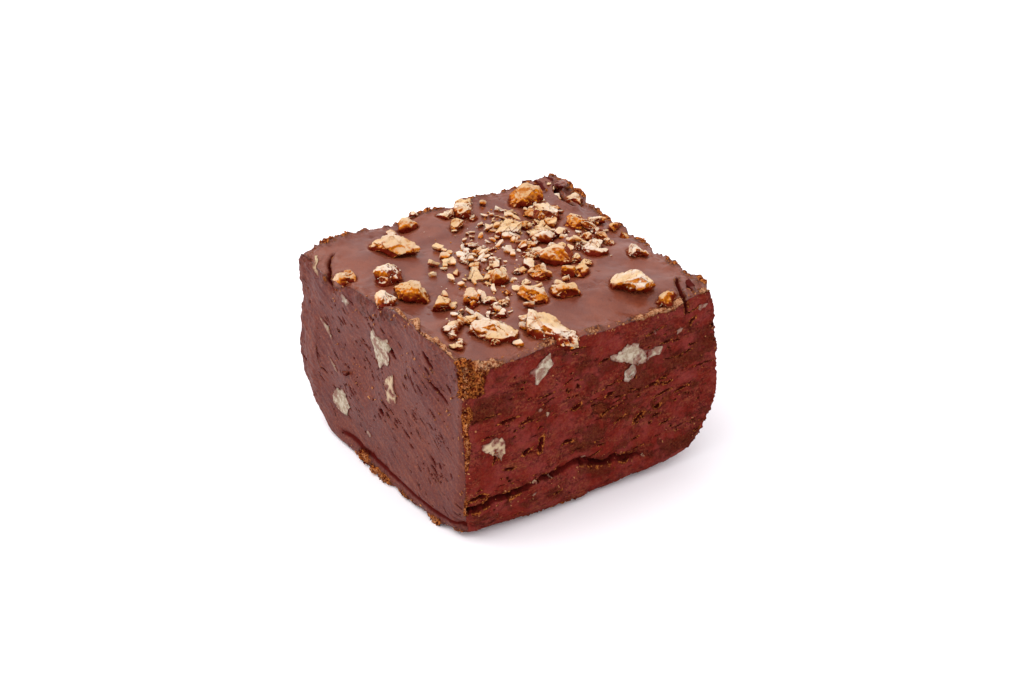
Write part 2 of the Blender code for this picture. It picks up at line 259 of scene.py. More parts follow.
def blocks(places, size, seed):
    """Broken blocks: a number from -1 to 1 for the block each place is in, and how near its edge is."""
    scaled = places / size
    cells = np.floor(scaled).astype(np.int64)
    nearest = np.full(len(places), 9.0)
    second = np.full(len(places), 9.0)
    value = np.zeros(len(places))
    for dx in (-1, 0, 1):
        for dy in (-1, 0, 1):
            for dz in (-1, 0, 1):
                cell = cells + np.array((dx, dy, dz))
                middle = [0.5 + 0.45 * lattice_value(cell, seed + axis) for axis in range(3)]
                gap = np.sqrt(np.sum((scaled - cell - np.stack(middle, axis=1)) ** 2, axis=1))
                closer = gap < nearest
                second = np.where(closer, nearest, np.minimum(second, gap))
                value = np.where(closer, lattice_value(cell, seed + 5), value)
                nearest = np.minimum(nearest, gap)
    return value, hump((second - nearest) / 0.09)


def hump(distance):
    return np.exp(-distance * distance)


def rise(value, low, high):
    """0 below low and 1 above high, smooth between."""
    share = np.clip((value - low) / (high - low), 0.0, 1.0)
    return share * share * (3.0 - 2.0 * share)


# ---------------------------------------------------------------- the block of fudge

def spread(share):
    """Bring the rows closer together towards both ends of a side."""
    return 0.55 * share + 0.45 * (0.5 - 0.5 * np.cos(np.pi * share))


def onto_arc(first, second, radius):
    """Round the corner between two sides, for points given by their distances from them."""
    reach_first = radius - first
    reach_second = radius - second
    inside = (reach_first > 0.0) & (reach_second > 0.0)
    length = np.hypot(reach_first, reach_second)
    shrink = np.maximum(reach_first, reach_second) / np.where(length > 0.0, length, 1.0)
    return (np.where(inside, radius - reach_first * shrink, first),
            np.where(inside, radius - reach_second * shrink, second))


def slow_wave(places, seed):
    return np.array([noise.noise(Vector(place) + Vector((seed, 0.0, 0.0))) for place in places])


def top_relief(x, y):
    """How far the top stands above or below its plain height."""
    flat = np.stack([x / SWELL_LENGTH, y / SWELL_LENGTH, np.full(len(x), 3.7)], axis=1)
    height = SWELL * 2.0 * slow_wave(flat, 0.0)
    for place_x, place_y, lift, reach_x, reach_y in TOP_FORMS:
        height += (lift * hump((x / (SIDE_X / 2) - place_x) / reach_x)
                   * hump((y / (SIDE_Y / 2) - place_y) / reach_y))
    return height


def shape_block(unit):
    """Bring points of a cube from 0 to 1 onto the plain block of fudge."""
    cut_x = spread(unit[:, 0]) * SIDE_X
    cut_y = spread(unit[:, 1]) * SIDE_Y
    cast_x = SIDE_X - cut_x
    cast_y = SIDE_Y - cut_y
    height = HEIGHT + top_relief(cut_x - SIDE_X / 2, cut_y - SIDE_Y / 2)
    z = spread(unit[:, 2]) * height
    cast_x, cast_y = onto_arc(cast_x, cast_y, PAN_CORNER)
    near_corner = RIM_RADIUS + (NEAR_FOOT_RADIUS - RIM_RADIUS) * (1.0 - z / height) ** 4
    cut_x, cut_y = onto_arc(cut_x, cut_y, near_corner)
    from_top = height - z
    cast_x, from_top = onto_arc(cast_x, from_top, RIM_RADIUS)
    cast_y, from_top = onto_arc(cast_y, from_top, RIM_RADIUS)
    cut_x, from_top = onto_arc(cut_x, from_top, RIM_RADIUS)
    cut_y, from_top = onto_arc(cut_y, from_top, RIM_RADIUS)
    z = height - from_top
    cast_x, z = onto_arc(cast_x, z, PAN_RADIUS)
    cast_y, z = onto_arc(cast_y, z, PAN_RADIUS)
    curl = NEAR_FOOT_CURL * hump(np.hypot(cut_x, cut_y) / NEAR_FOOT_REACH)
    cut_x, z = onto_arc(cut_x, z, CUT_EDGE_RADIUS + curl)
    cut_y, z = onto_arc(cut_y, z, CURL_RADIUS + curl)
    x = np.where(unit[:, 0] > 0.5, SIDE_X / 2 - cast_x, cut_x - SIDE_X / 2)
    y = np.where(unit[:, 1] > 0.5, SIDE_Y / 2 - cast_y, cut_y - SIDE_Y / 2)
    places = np.stack([x, y, z], axis=1)
    above_foot = np.minimum(1.0, z / CURL_RADIUS)
    wave_x = WAVE * 2.0 * slow_wave(places / WAVE_LENGTH, 5.0) * np.abs(2.0 * x / SIDE_X) ** 6
    wave_y = WAVE * 2.0 * slow_wave(places / WAVE_LENGTH, 9.0) * np.abs(2.0 * y / SIDE_Y) ** 6
    places[:, 0] += wave_x * above_foot
    places[:, 1] += wave_y * above_foot
    share_x = places[:, 0] / SIDE_X + 0.5
    share_y = places[:, 1] / SIDE_Y + 0.5
    share_z = np.minimum(1.0, z / HEIGHT)
    for (far_x, far_y, top), (shift_x, shift_y) in CORNER_SHIFTS.items():
        weight = (share_x if far_x else 1.0 - share_x) * (share_y if far_y else 1.0 - share_y)
        weight = weight * (share_z if top else 1.0 - share_z)
        places[:, 0] += shift_x * weight
        places[:, 1] += shift_y * weight
    return places


def unit_block():
    """A cube from 0 to 1 in rows, finer on the two cut sides and on the top."""
    block = bmesh.new()
    bmesh.ops.create_cube(block, size=1.0, matrix=Matrix.Translation((0.5, 0.5, 0.5)))
    for axis, rows in enumerate(SKIN_ROWS):
        edges = []
        for edge in block.edges:
            run = edge.verts[1].co - edge.verts[0].co
            if abs(run[axis]) > 0.9 * run.length:
                edges.append(edge)
        bmesh.ops.subdivide_edges(block, edges=edges, cuts=rows - 1, use_grid_fill=True)
    for finer, on_side in ((TOP_FINER, lambda middle: middle.z > 1.0 - 1e-6),
                           (CUT_SIDE_FINER, lambda middle: min(middle.x, middle.y) < 1e-6)):
        edges = {edge for face in block.faces if on_side(face.calc_center_median()) for edge in face.edges}
        bmesh.ops.subdivide_edges(block, edges=list(edges), cuts=finer, use_grid_fill=True)
    bmesh.ops.triangulate(block, faces=block.faces)
    mesh = bpy.data.meshes.new("fudge_block")
    block.to_mesh(mesh)
    block.free()
    return mesh


def places_of(mesh):
    places = np.empty(len(mesh.vertices) * 3)
    mesh.vertices.foreach_get("co", places)
    return places.reshape(-1, 3)


def move_to(mesh, places):
    mesh.vertices.foreach_set("co", np.ascontiguousarray(places, dtype=np.float32).ravel())
    mesh.update()


def normals_of(mesh):
    normals = np.empty(len(mesh.vertices) * 3, dtype=np.float32)
    mesh.vertex_normals.foreach_get("vector", normals)
    return normals.reshape(-1, 3).astype(float)


def mark(mesh, name, values):
    """Keep a value per vertex for the material."""
    layer = mesh.attributes.new(name, "FLOAT", "POINT")
    layer.data.foreach_set("value", np.ascontiguousarray(values, dtype=np.float32))


# Tears that stand out: place along the side and height, length, width and lean, in mm and degrees
LEFT_TEARS = [
    (-15.7, 29.0, 3.4, 0.85, 44), (-18.4, 24.6, 6.4, 0.55, 22), (-15.6, 27.0, 1.8, 0.35, 40),
    (-9.4, 22.8, 0.9, 0.75, 20), (-11.8, 23.3, 2.4, 0.40, 42), (-4.6, 25.4, 3.6, 1.10, 30),
    (-2.2, 12.9, 1.9, 0.90, 12), (-9.6, 12.5, 2.2, 0.45, 20), (23.2, 11.2, 2.6, 0.35, 8),
    (10.6, 23.9, 1.7, 0.50, 40), (18.7, 14.2, 3.2, 0.30, 70), (-19.2, 11.2, 1.2, 0.75, 40),
    (-17.6, 20.3, 2.0, 0.35, 30), (-21.2, 26.2, 1.6, 0.40, 35),
]
FRONT_TEARS = [
    (-5.1, 12.2, 1.9, 0.60, 4), (9.7, 11.5, 2.4, 0.75, 24), (13.6, 12.3, 1.5, 0.65, 6),
    (-10.5, 13.9, 2.6, 1.00, 68), (-3.4, 18.3, 1.7, 0.80, 16), (-16.8, 20.4, 3.4, 0.40, 4),
    (-19.4, 14.3, 2.0, 0.45, 84), (-18.4, 14.6, 1.6, 0.40, 70), (-13.3, 13.5, 1.6, 0.60, 22),
    (7.2, 30.9, 1.4, 0.90, 0), (22.6, 17.8, 3.6, 0.30, 0), (-13.4, 19.0, 2.2, 0.45, 6),
    (3.2, 15.2, 2.8, 0.45, 14), (5.6, 12.9, 2.4, 0.35, 12), (14.6, 14.6, 3.2, 0.40, 8),
    (12.2, 17.2, 2.0, 0.40, 4), (18.6, 14.0, 2.6, 0.40, 8), (-22.6, 7.9, 3.4, 0.80, 2),
    (-9.0, 22.4, 2.2, 0.35, 4), (2.6, 24.6, 2.0, 0.30, 4), (12.6, 26.9, 3.0, 0.35, 10),
    (19.0, 21.3, 1.8, 0.40, 6), (20.0, 26.6, 1.6, 0.60, 40), (6.4, 5.2, 1.8, 0.50, 8),
]

# The fold low in the front, and the band of tears across its middle
FRONT_FOLD = [(-25.8, 6.0), (-21.9, 6.7), (-17.1, 6.8), (-12.3, 7.8), (-6.4, 7.4), (-1.9, 8.0), (1.6, 6.1),
              (5.6, 5.6), (12.9, 4.0), (21.0, 3.8)]
TEAR_BAND = [(-3.0, 18.3), (3.4, 15.0), (9.7, 11.7), (13.6, 12.6), (21.0, 13.6)]

# Cracks in the top near the far ends of both rims
LEFT_CRACK = [(-20.2, 20.6), (-22.6, 18.6), (-23.8, 16.4), (-24.4, 14.6), (-25.9, 11.4), (-26.6, 9.6)]
RIGHT_CRACK = [(21.6, -18.6), (19.8, -21.4), (18.6, -24.0), (18.2, -26.4)]
CORNER_CRACK = [(24.6, 20.4), (22.8, 17.4), (21.4, 13.6), (21.8, 10.8)]


def torn_slits(along, up, rows, ragged):
    """How deep each place lies in torn slits, and how near it is to their crumbled edges."""
    deep = np.full(len(along), -9.0)
    for middle_along, middle_up, length, width, lean in rows:
        near = np.nonzero((np.abs(along - middle_along) < length) & (np.abs(up - middle_up) < length))[0]
        angle = math.radians(lean)
        step_along = along[near] - middle_along
        step_up = up[near] - middle_up
        run = (step_along * math.cos(angle) + step_up * math.sin(angle)) / (length / 2)
        off = (step_up * math.cos(angle) - step_along * math.sin(angle)) / (width / 2)
        off = off + 0.6 * math.sin(middle_along * 9.0) * (1.0 - run * run) + 1.3 * ragged[near]
        inside = (1.0 - run * run - off * off) * min(1.0, 0.35 + 0.9 * width)
        deep[near] = np.maximum(deep[near], np.where(inside > 0.0, inside, 1.0 - run * run - off * off))
    return np.sqrt(np.clip(deep, 0.0, 1.0)), rise(deep, -2.2, -0.4) * (1.0 - rise(deep, -0.2, 0.15))


def random_tears(seed, count, reach_up, lean, middles):
    """Rows for small tears, few of them long, about half of them in clusters."""
    rng = random.Random(seed)
    rows = []
    for index in range(count):
        along = rng.uniform(-26.0, 26.0)
        up = rng.uniform(*reach_up)
        if index % 2:
            middle = rng.choice(middles)
            along = rng.gauss(middle[0], 2.6)
            up = rng.gauss(middle[1], 1.5)
        length = 0.35 + 2.3 * rng.random() ** 3
        width = 0.12 + 0.28 * rng.random() ** 2
        rows.append((along, up, length, width, rng.gauss(*lean)))
    return rows


def along_line(x, y, line):
    """Distance of each place from a line through a few points, the share along it, and the side."""
    best = np.full(len(x), 99.0)
    share = np.zeros(len(x))
    side = np.zeros(len(x))
    for index in range(len(line) - 1):
        start, end = np.array(line[index]), np.array(line[index + 1])
        run = end - start
        t = np.clip(((x - start[0]) * run[0] + (y - start[1]) * run[1]) / (run @ run), 0.0, 1.0)
        gap = np.hypot(x - start[0] - t * run[0], y - start[1] - t * run[1])
        nearer = gap < best
        share = np.where(nearer, (index + t) / (len(line) - 1), share)
        side = np.where(nearer, np.sign(run[0] * (y - start[1]) - run[1] * (x - start[0])), side)
        best = np.minimum(best, gap)
    return best, share, side


def fudge_skin():
    """The block of fudge with its torn cuts, burred rims, folds and cracks."""
    mesh = unit_block()
    unit = places_of(mesh)
    plain = shape_block(unit)
    move_to(mesh, plain)
    normals = normals_of(mesh)

    at = plain / MM
    x, y, z = at.T
    from_left = spread(unit[:, 0]) * SIDE_X / MM
    from_front = spread(unit[:, 1]) * SIDE_Y / MM
    from_top = (1.0 - spread(unit[:, 2])) * HEIGHT / MM
    left = (unit[:, 0] < 1e-6) * 1.0
    front = (unit[:, 1] < 1e-6) * 1.0
    top = (unit[:, 2] > 1.0 - 1e-6) * 1.0
    fine = rough(at, 0.5, 11)
    coarse = rough(at, 2.2, 21)
    broad = rough(at, 7.0, 31, 2)
    grain = crumbly(at, 0.75, 41)
    ragged = rough(at, 0.8, 51)
    wander = 0.5 * ripple(at * np.array((0.0, 1.0, 0.0)), 5.0, 91) + 0.5 * coarse
    level = at * np.array((0.22, 0.22, 1.0))
    lean = math.radians(28.0)
    drawn = np.stack([x, 0.2 * (y * math.cos(lean) + z * math.sin(lean)),
                      z * math.cos(lean) - y * math.sin(lean)], axis=1)

    # Burrs that the knife drew up along both rims and down the upright edge
    left_burr = hump((from_left - from_top - 0.1 - wander) / 0.50) * np.maximum(left, top)
    left_burr *= (0.30 + 0.70 * rise(-y, 2.0, 9.0)) * rise(from_front, 0.5, 4.0)
    front_burr = hump((from_front - from_top + 0.1 - 1.3 * wander) / 0.85) * np.maximum(front, top)
    front_burr *= np.clip(0.70 + 1.1 * ripple(at * np.array((1.0, 0.0, 0.0)), 4.0, 92), 0.1, 1.0)
    far_rim = np.minimum(SIDE_X / MM - from_left, SIDE_Y / MM - from_front)
    far_burr = hump((from_top + far_rim * 0.6 - 0.4) / 0.9) * (from_top < 4.0) * (far_rim < 4.0)
    far_burr = far_burr * rise(coarse + ragged, -0.25, 0.25)
    edge_wander = 0.35 + 0.8 * ripple(at * np.array((0.0, 0.0, 1.0)), 4.5, 93) + 0.4 * coarse
    edge_burr = (hump((from_left - from_front - edge_wander) / 0.50)
                 * np.maximum(left, front) * rise(z, 4.0, 6.0))
    edge_burr *= np.clip(0.65 + 1.0 * ripple(at * np.array((0.0, 0.0, 1.0)), 5.5, 94), 0.15, 1.0)
    bulge = front * hump((x + 24.2) / 0.9) * hump((z - 23.8) / 1.8)
    foot_burr = hump((z - 0.9 - 0.3 * coarse) / 0.70) * left * rise(14.0 - y, 0.0, 5.0)
    foot_burr *= 0.55 + 0.45 * np.clip(2.0 * ripple(at * np.array((0.0, 1.0, 0.0)), 3.0, 95), -1.0, 1.0)
    foot_burr = np.maximum(foot_burr, hump((z - 1.4) / 1.1) * left * hump((y - 3.6) / 2.0))
    toe_burr = (0.6 * hump((z - 1.0 - 0.5 * coarse) / 0.45) * front
                * rise(x, -22.0, -17.0) * rise(2.0 - x, 0.0, 6.0))
    pale = np.clip(np.maximum.reduce([left_burr, front_burr, 0.5 * edge_burr, 0.55 * foot_burr]), 0.0, 1.0)

    # The near top corner crumbled away
    corner = np.sqrt(from_left ** 2 + (2.0 * from_front) ** 2 + from_top ** 2)
    broken = rise(5.8 * (1.0 + 0.55 * coarse) - corner, 0.0, 1.6)
    crumb = np.maximum.reduce([left_burr, front_burr, edge_burr, bulge, 1.2 * foot_burr, toe_burr, broken,
                               0.75 * far_burr])

    relief = top * (0.20 * coarse + 0.30 * broad + 0.02 * fine - 0.25 * rise(rough(at, 1.6, 25), 0.42, 0.62))
    relief += left * (0.04 * coarse + 0.10 * broad + 0.015 * fine + 0.10 * rough(drawn, 0.45, 71))
    relief += front * (0.10 * coarse + 0.14 * broad + 0.05 * fine + 0.07 * grain)
    cast = 1.0 - np.maximum.reduce([left, front, top])
    relief += cast * (0.10 * coarse + 0.16 * broad + 0.03 * fine
                      - 0.25 * rise(rough(at, 1.3, 27), 0.40, 0.62))
    shelves = 0.20 * rough(level, 0.7, 81) + 0.24 * rough(level, 1.7, 83)
    relief += front * shelves * (0.35 + 0.65 * rise(coarse + broad, -0.25, 0.25))
    relief += 0.35 * left_burr + 0.60 * front_burr + 0.25 * edge_burr + 0.7 * bulge + 0.30 * far_burr
    rims = hump(from_top / 2.2) * hump(np.minimum.reduce([from_left, from_front, far_rim]) / 2.2)
    relief += rims * (0.70 * coarse + 0.40 * ragged)
    far_edges = hump(np.minimum.reduce([from_left + SIDE_Y / MM - from_front,
                                        from_front + SIDE_X / MM - from_left]) / 5.0)
    relief += far_edges * (0.40 * coarse + 0.10 * ragged + 0.08 * grain)
    relief += 0.9 * foot_burr * (0.6 + 0.5 * grain) + 0.35 * toe_burr
    relief += np.clip(crumb, 0.0, 1.0) * (0.34 * (grain - 0.45) + 0.20 * coarse + 0.10 * fine)
    relief += broken * (0.9 * (crumbly(at, 1.8, 45) - 0.4) + 0.3 * (grain - 0.4))

    # Tan crumbly skin below the middle of the left rim, and patches of it in the front
    tan = (0.75 * left * hump((from_top - 1.6) / 1.9) * hump((y - 1.0) / 7.0)
           * rise(ragged + coarse, -0.45, 0.25))
    patches = rise(rough(at * np.array((0.45, 1.0, 1.0)), 4.0, 101) + 0.3 * ragged, 0.02, 0.42)
    tan = np.maximum(tan, 0.55 * front * patches)
    tan = np.maximum(tan, front * hump(np.hypot((x + 10.2) / 2.3, (z - 19.6) / 1.2)) * (0.4 + grain))
    smooth_patch = np.maximum(hump(np.hypot((x - 1.9) / 2.6, (z - 27.6) / 3.4)),
                              hump(np.hypot((x + 17.5) / 5.2, (z - 11.0) / 2.2)))
    tan *= 1.0 - front * smooth_patch
    gap, share, _ = along_line(x, z, TEAR_BAND)
    band = front * hump((gap - 0.5 * coarse) / 1.3) * rise(ragged + 0.5 * coarse, -0.35, 0.20)
    tan = np.maximum(tan, 0.9 * band)
    relief += 0.22 * tan * (grain - 0.5)
    relief -= 0.30 * band

    # Tears that the knife opened, on the left drawn out at a lean and in the front level
    left_middles = [(-14.0, 24.0), (-7.0, 13.0), (4.0, 20.0), (10.0, 12.0), (-18.0, 9.0), (14.0, 22.0),
                    (-12.0, 17.0),
                    (1.0, 27.0), (-20.0, 17.0), (6.0, 8.0)]
    front_middles = TEAR_BAND + [
        (-16.0, 20.5), (16.0, 16.5), (8.0, 17.0), (-20.0, 9.0), (17.0, 24.0), (-6.0, 21.0)]
    left_rows = LEFT_TEARS + random_tears(61, 260, (2.0, 31.0), (28.0, 9.0), left_middles)
    front_rows = FRONT_TEARS + random_tears(63, 190, (2.0, 29.0), (4.0, 7.0), front_middles)
    pit_left, lip_left = torn_slits(y, z, left_rows, ragged * 0.6)
    pit_front, lip_front = torn_slits(x, z, front_rows, ragged)
    pit = left * pit_left + front * pit_front
    lip = left * lip_left * rise(coarse, -0.2, 0.4) + front * lip_front
    relief -= 0.60 * pit
    relief += 0.10 * lip
    crumb = np.maximum(crumb, (0.62 + 0.14 * front) * lip)

    # Low in the front the fudge is folded over: a crease with a shelf below it
    gap, share, side = along_line(x, z + 0.7 * coarse + 0.35 * ragged, FRONT_FOLD)
    kept = (0.25 + 0.75 * rise(ripple(at, 3.0, 97), -0.3, 0.2)) * rise(1.0 - share, 0.0, 0.30)
    under = front * (side < 0.0) * rise(1.0 - share, 0.0, 0.25)
    crease = front * hump(gap / 0.36) * kept
    relief += 0.40 * under * hump((gap - 0.7) / 1.8) - 0.55 * crease
    relief -= 0.30 * kept * front * (side > 0.0) * hump(gap / 1.8)
    crumb = np.maximum(crumb, 0.75 * front * hump((gap - 0.50) / 0.55) * kept * rise(ragged, -0.2, 0.2))
    ruffles = front * rise(4.8 - z, 0.0, 1.0) * hump((x + 2.0) / 6.0)
    relief += 0.30 * ruffles * rough(level, 0.8, 111)
    # The crease and the shade line above the left foot get painted shade, like the pits and slits
    pit = np.maximum(pit, 0.75 * crease)
    shade_line = left * hump((z - 2.5 - 0.4 * coarse) / 0.42) * rise(14.0 - y, 0.0, 5.0) * rise(z, 1.0, 2.0)
    relief -= 0.30 * shade_line
    pit = np.maximum(pit, 0.50 * shade_line)

    # Cracks in the top
    for line, wide, deep, lift in ((LEFT_CRACK, 0.20, 1.2, 0.30), (RIGHT_CRACK, 0.20, 0.9, 0.25),
                                   (CORNER_CRACK, 0.35, 1.6, 0.60)):
        gap, share, _ = along_line(x + 0.3 * ragged, y + 0.7 * coarse, line)
        open_part = rise(share, 0.0, 0.12) * rise(z, 27.0, 29.0)
        crack = hump(gap / wide) * open_part
        relief += lift * hump((gap - 0.8) / 0.6) * open_part - deep * crack
        # Painted shade in the cracks
        pit = np.maximum(pit, 0.8 * crack)
        crumb = np.maximum(crumb, 0.60 * hump((gap - 0.5) / 0.28) * open_part * rise(ragged, -0.3, 0.2))

    inward = np.array((0.60, 0.60, -0.53))
    hollow = broken * rise(6.2 - corner, 0.0, 6.2)
    places = plain + MM * (normals * relief[:, None] + inward * (hollow * 3.0)[:, None])
    places[:, 2] = np.where(unit[:, 2] < 1e-6, plain[:, 2], np.maximum(places[:, 2], 0.05 * MM))
    move_to(mesh, places)
    mark(mesh, "crumb", np.clip(crumb, 0.0, 1.0))
    mark(mesh, "pale", np.clip(pale + 0.35 * broken * rise(grain + coarse, 0.2, 0.9), 0.0, 1.0))
    mark(mesh, "tan", np.clip(tan, 0.0, 1.0))
    # How deep each place lies in a pit, slit, crack or crease; the finish paints shade there
    mark(mesh, "pit", pit)
    mark(mesh, "front", front)
    mark(mesh, "side", left)
    mark(mesh, "lid", top)
    return mesh


def frame_shift():
    """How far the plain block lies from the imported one: its frame's origin is the middle of its box."""
    across, along, up = np.meshgrid(np.linspace(0, 1, 41), np.linspace(0, 1, 41), np.linspace(0, 1, 25))
    plain = shape_block(np.stack([across.ravel(), along.ravel(), up.ravel()], axis=1))
    low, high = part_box("fudge")
    shift = (np.array(low) + np.array(high)) / 2 - (plain.min(axis=0) + plain.max(axis=0)) / 2
    return Vector((shift[0], shift[1], 0.0))


def thinned(mesh, triangles):
    """The same surface in fewer triangles, which stay small where it is rough."""
    made = bpy.data.objects.new("thinned", mesh)
    bpy.context.scene.collection.objects.link(made)
    modifier = made.modifiers.new("fewer", "DECIMATE")
    modifier.ratio = min(1.0, triangles / len(mesh.polygons))
    evaluated = made.evaluated_get(bpy.context.evaluated_depsgraph_get())
    result = bpy.data.meshes.new_from_object(evaluated)
    bpy.data.objects.remove(made)
    return result


def add_piece(name, mesh, material, slot, *nodes, flat=False):
    """A finished piece of the visual model, riding with the block."""
    mesh.materials.clear()
    mesh.materials.append(material)
    if flat:
        mesh.shade_flat()
    else:
        mesh.shade_smooth()
    piece = bpy.data.objects.new(name, mesh)
    bpy.context.scene.collection.objects.link(piece)
    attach(piece, "root")
    if nodes:
        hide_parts(*nodes)
    return piece


# ---------------------------------------------------------------- nuts

def flatten(lump, point, normal):
    """Cut a lump off flat beyond a plane."""
    geometry = lump.verts[:] + lump.edges[:] + lump.faces[:]
    cut = bmesh.ops.bisect_plane(lump, geom=geometry, dist=1e-6, plane_co=point, plane_no=normal,
                                 clear_outer=True)
    rim = [item for item in cut["geom_cut"] if isinstance(item, bmesh.types.BMEdge)]
    bmesh.ops.holes_fill(lump, edges=rim, sides=0)


def fit_box(lump, length, width, thickness):
    """Centre a lump and stretch it to its three sizes."""
    low = Vector([min(vertex.co[axis] for vertex in lump.verts) for axis in range(3)])
    high = Vector([max(vertex.co[axis] for vertex in lump.verts) for axis in range(3)])
    middle = (low + high) / 2
    sizes = (length, width, thickness)
    for vertex in lump.verts:
        for axis in range(3):
            share = (vertex.co[axis] - middle[axis]) / (high[axis] - low[axis])
            vertex.co[axis] = share * sizes[axis]


def nut_chunk(seed, size, bearing, breaks):
    """A chopped nut: a knobbly kernel, broken flat on several sides, but not where its skin is kept."""
    chance = random.Random(seed)
    lump = bmesh.new()
    bmesh.ops.create_icosphere(lump, subdivisions=2, radius=0.5)
    for vertex in lump.verts:
        knob = vertex.co * KERNEL_KNOBS + Vector((seed * 3.1, 0.0, 0.0))
        vertex.co *= 1.0 + KERNEL_UNEVEN * noise.noise(knob)
    fit_box(lump, *size)
    bmesh.ops.transform(lump, matrix=bearing, verts=lump.verts)
    skin_side = math.radians(SKIN_SIDE)
    skin_way = Vector((math.cos(skin_side), math.sin(skin_side), -SKIN_LOW)).normalized()
    for index in range(breaks):
        around = chance.uniform(0.0, 2.0 * math.pi)
        up = chance.uniform(*BREAK_RISE)
        depth = chance.uniform(*BREAK_DEPTH)
        outward = Vector((math.cos(around), math.sin(around), up))
        if index == 0:
            outward = Vector((TOP_LEAN * math.cos(around), TOP_LEAN * math.sin(around), 1.0))
        outward.normalize()
        if outward.dot(skin_way) < SKIN_KEPT:
            reach = max(vertex.co.dot(outward) for vertex in lump.verts)
            flatten(lump, outward * reach * depth, outward)
    bmesh.ops.triangulate(lump, faces=lump.faces)
    return lump


def refine(lump, longest):
    """Split edges until none is longer than that."""
    for _ in range(5):
        edges = [edge for edge in lump.edges if edge.calc_length() > longest]
        if not edges:
            break
        bmesh.ops.subdivide_edges(lump, edges=edges, cuts=1)
        bmesh.ops.triangulate(lump, faces=lump.faces)


def break_up(lump, seed, chips, keep):
    """Give a plain lump small chipped corners, worn edges and a fine mesh."""
    rng = random.Random(seed)
    for _ in range(chips):
        angle = rng.uniform(0.0, 2.0 * math.pi)
        outward = Vector((math.cos(angle), math.sin(angle), rng.uniform(-0.1, 1.1))).normalized()
        middle = sum((vertex.co for vertex in lump.verts), Vector()) / len(lump.verts)
        reach = max((vertex.co - middle).dot(outward) for vertex in lump.verts)
        flatten(lump, middle + outward * reach * rng.uniform(*keep), outward)
    bmesh.ops.dissolve_limit(lump, angle_limit=math.radians(5.0), verts=lump.verts, edges=lump.edges)
    bmesh.ops.bevel(lump, geom=lump.edges[:], offset=NUT_BEVEL, affect="EDGES", segments=1, profile=0.5,
                    material=-1, clamp_overlap=True)
    bmesh.ops.triangulate(lump, faces=lump.faces)
    refine(lump, FINE_NUT)


class Ground:
    """The skin of the fudge, for laying things on it and for measuring how far they stand out."""

    def __init__(self, mesh):
        places = places_of(mesh)
        triangles = np.empty(len(mesh.polygons) * 3, dtype=np.int32)
        mesh.polygons.foreach_get("vertices", triangles)
        self.tree = BVHTree.FromPolygons(places.tolist(), triangles.reshape(-1, 3).tolist())

    def below(self, x, y):
        return self.tree.ray_cast(Vector((x, y, 0.08)), Vector((0.0, 0.0, -1.0)))[0]

    def towards(self, start, way):
        hit = self.tree.ray_cast(Vector(start), Vector(way))
        return hit[0], hit[1]

    def proud(self, places, way):
        """How far each place stands out of the skin, in millimetres, measured against that way."""
        way = Vector(way)
        result = np.full(len(places), 4.0)
        for index, place in enumerate(places):
            start = Vector(place) - way * 0.03
            hit = self.tree.ray_cast(start, way)
            if hit[0] is not None:
                result[index] = (hit[3] - 0.03) / MM
        return np.clip(result, -1.0, 6.0)


def roughen_nut(mesh, seed, amount=1.0):
    """Break a nut's faces into small blocks with seams between them, and give it a fine grain."""
    places = places_of(mesh)
    normals = normals_of(mesh)
    at = places / MM
    stray = at + 0.25 * np.stack([rough(at, 0.9, seed + axis, 2) for axis in range(3)], axis=1)
    large, large_seam = blocks(stray, 2.0, seed + 3)
    small, small_seam = blocks(stray, 0.95, seed + 4)
    relief = 0.26 * large + 0.13 * small + 0.07 * rough(at, 0.45, seed) - 0.03 * large_seam
    move_to(mesh, places + normals * (MM * amount * relief)[:, None])
    mark(mesh, "seam", np.maximum(large_seam, 0.5 * small_seam))


def mark_nut(mesh, ground, tones, smears):
    """Mark how steep each place of a nut is, how high over the fudge, how far it faces towards the camera and
    down, how tan, and how smeared; the finish paints shade from the first three.
    """
    places = places_of(mesh)
    normals = normals_of(mesh)
    mark(mesh, "steep", rise(0.84 - normals[:, 2], 0.0, 0.40))
    mark(mesh, "skin", normals @ np.array(SKIN_AND_SHADE_WAY))
    mark(mesh, "high", ground.proud(places, (0.0, 0.0, -1.0)))
    mark(mesh, "tone", tones)
    mark(mesh, "smear", rise(np.sum(normals * smears, axis=1), 0.25, 0.60))


def nut_from_solid(node, seed, chips):
    """The mesh of one nut, from a copy of its solid."""
    lump = bmesh.new()
    lump.from_mesh(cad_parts[node].data)
    bmesh.ops.remove_doubles(lump, verts=lump.verts, dist=1e-6)
    break_up(lump, seed, chips, (0.84, 0.95))
    mesh = bpy.data.meshes.new(node)
    lump.to_mesh(mesh)
    lump.free()
    roughen_nut(mesh, seed)
    return mesh


class Heap:
    """Many small lumps that become one mesh, each with its tone."""

    def __init__(self):
        self.lumps = bmesh.new()
        self.rows = []

    def add(self, lump, place, tone=0.0):
        bmesh.ops.transform(lump, matrix=place, verts=lump.verts)
        mesh = bpy.data.meshes.new("lump")
        lump.to_mesh(mesh)
        lump.free()
        self.rows.append((len(mesh.vertices), tone))
        self.lumps.from_mesh(mesh)
        bpy.data.meshes.remove(mesh)

    def mesh(self, name):
        mesh = bpy.data.meshes.new(name)
        self.lumps.to_mesh(mesh)
        self.lumps.free()
        return mesh

    def tones(self):
        return np.repeat([row[1] for row in self.rows], [row[0] for row in self.rows])


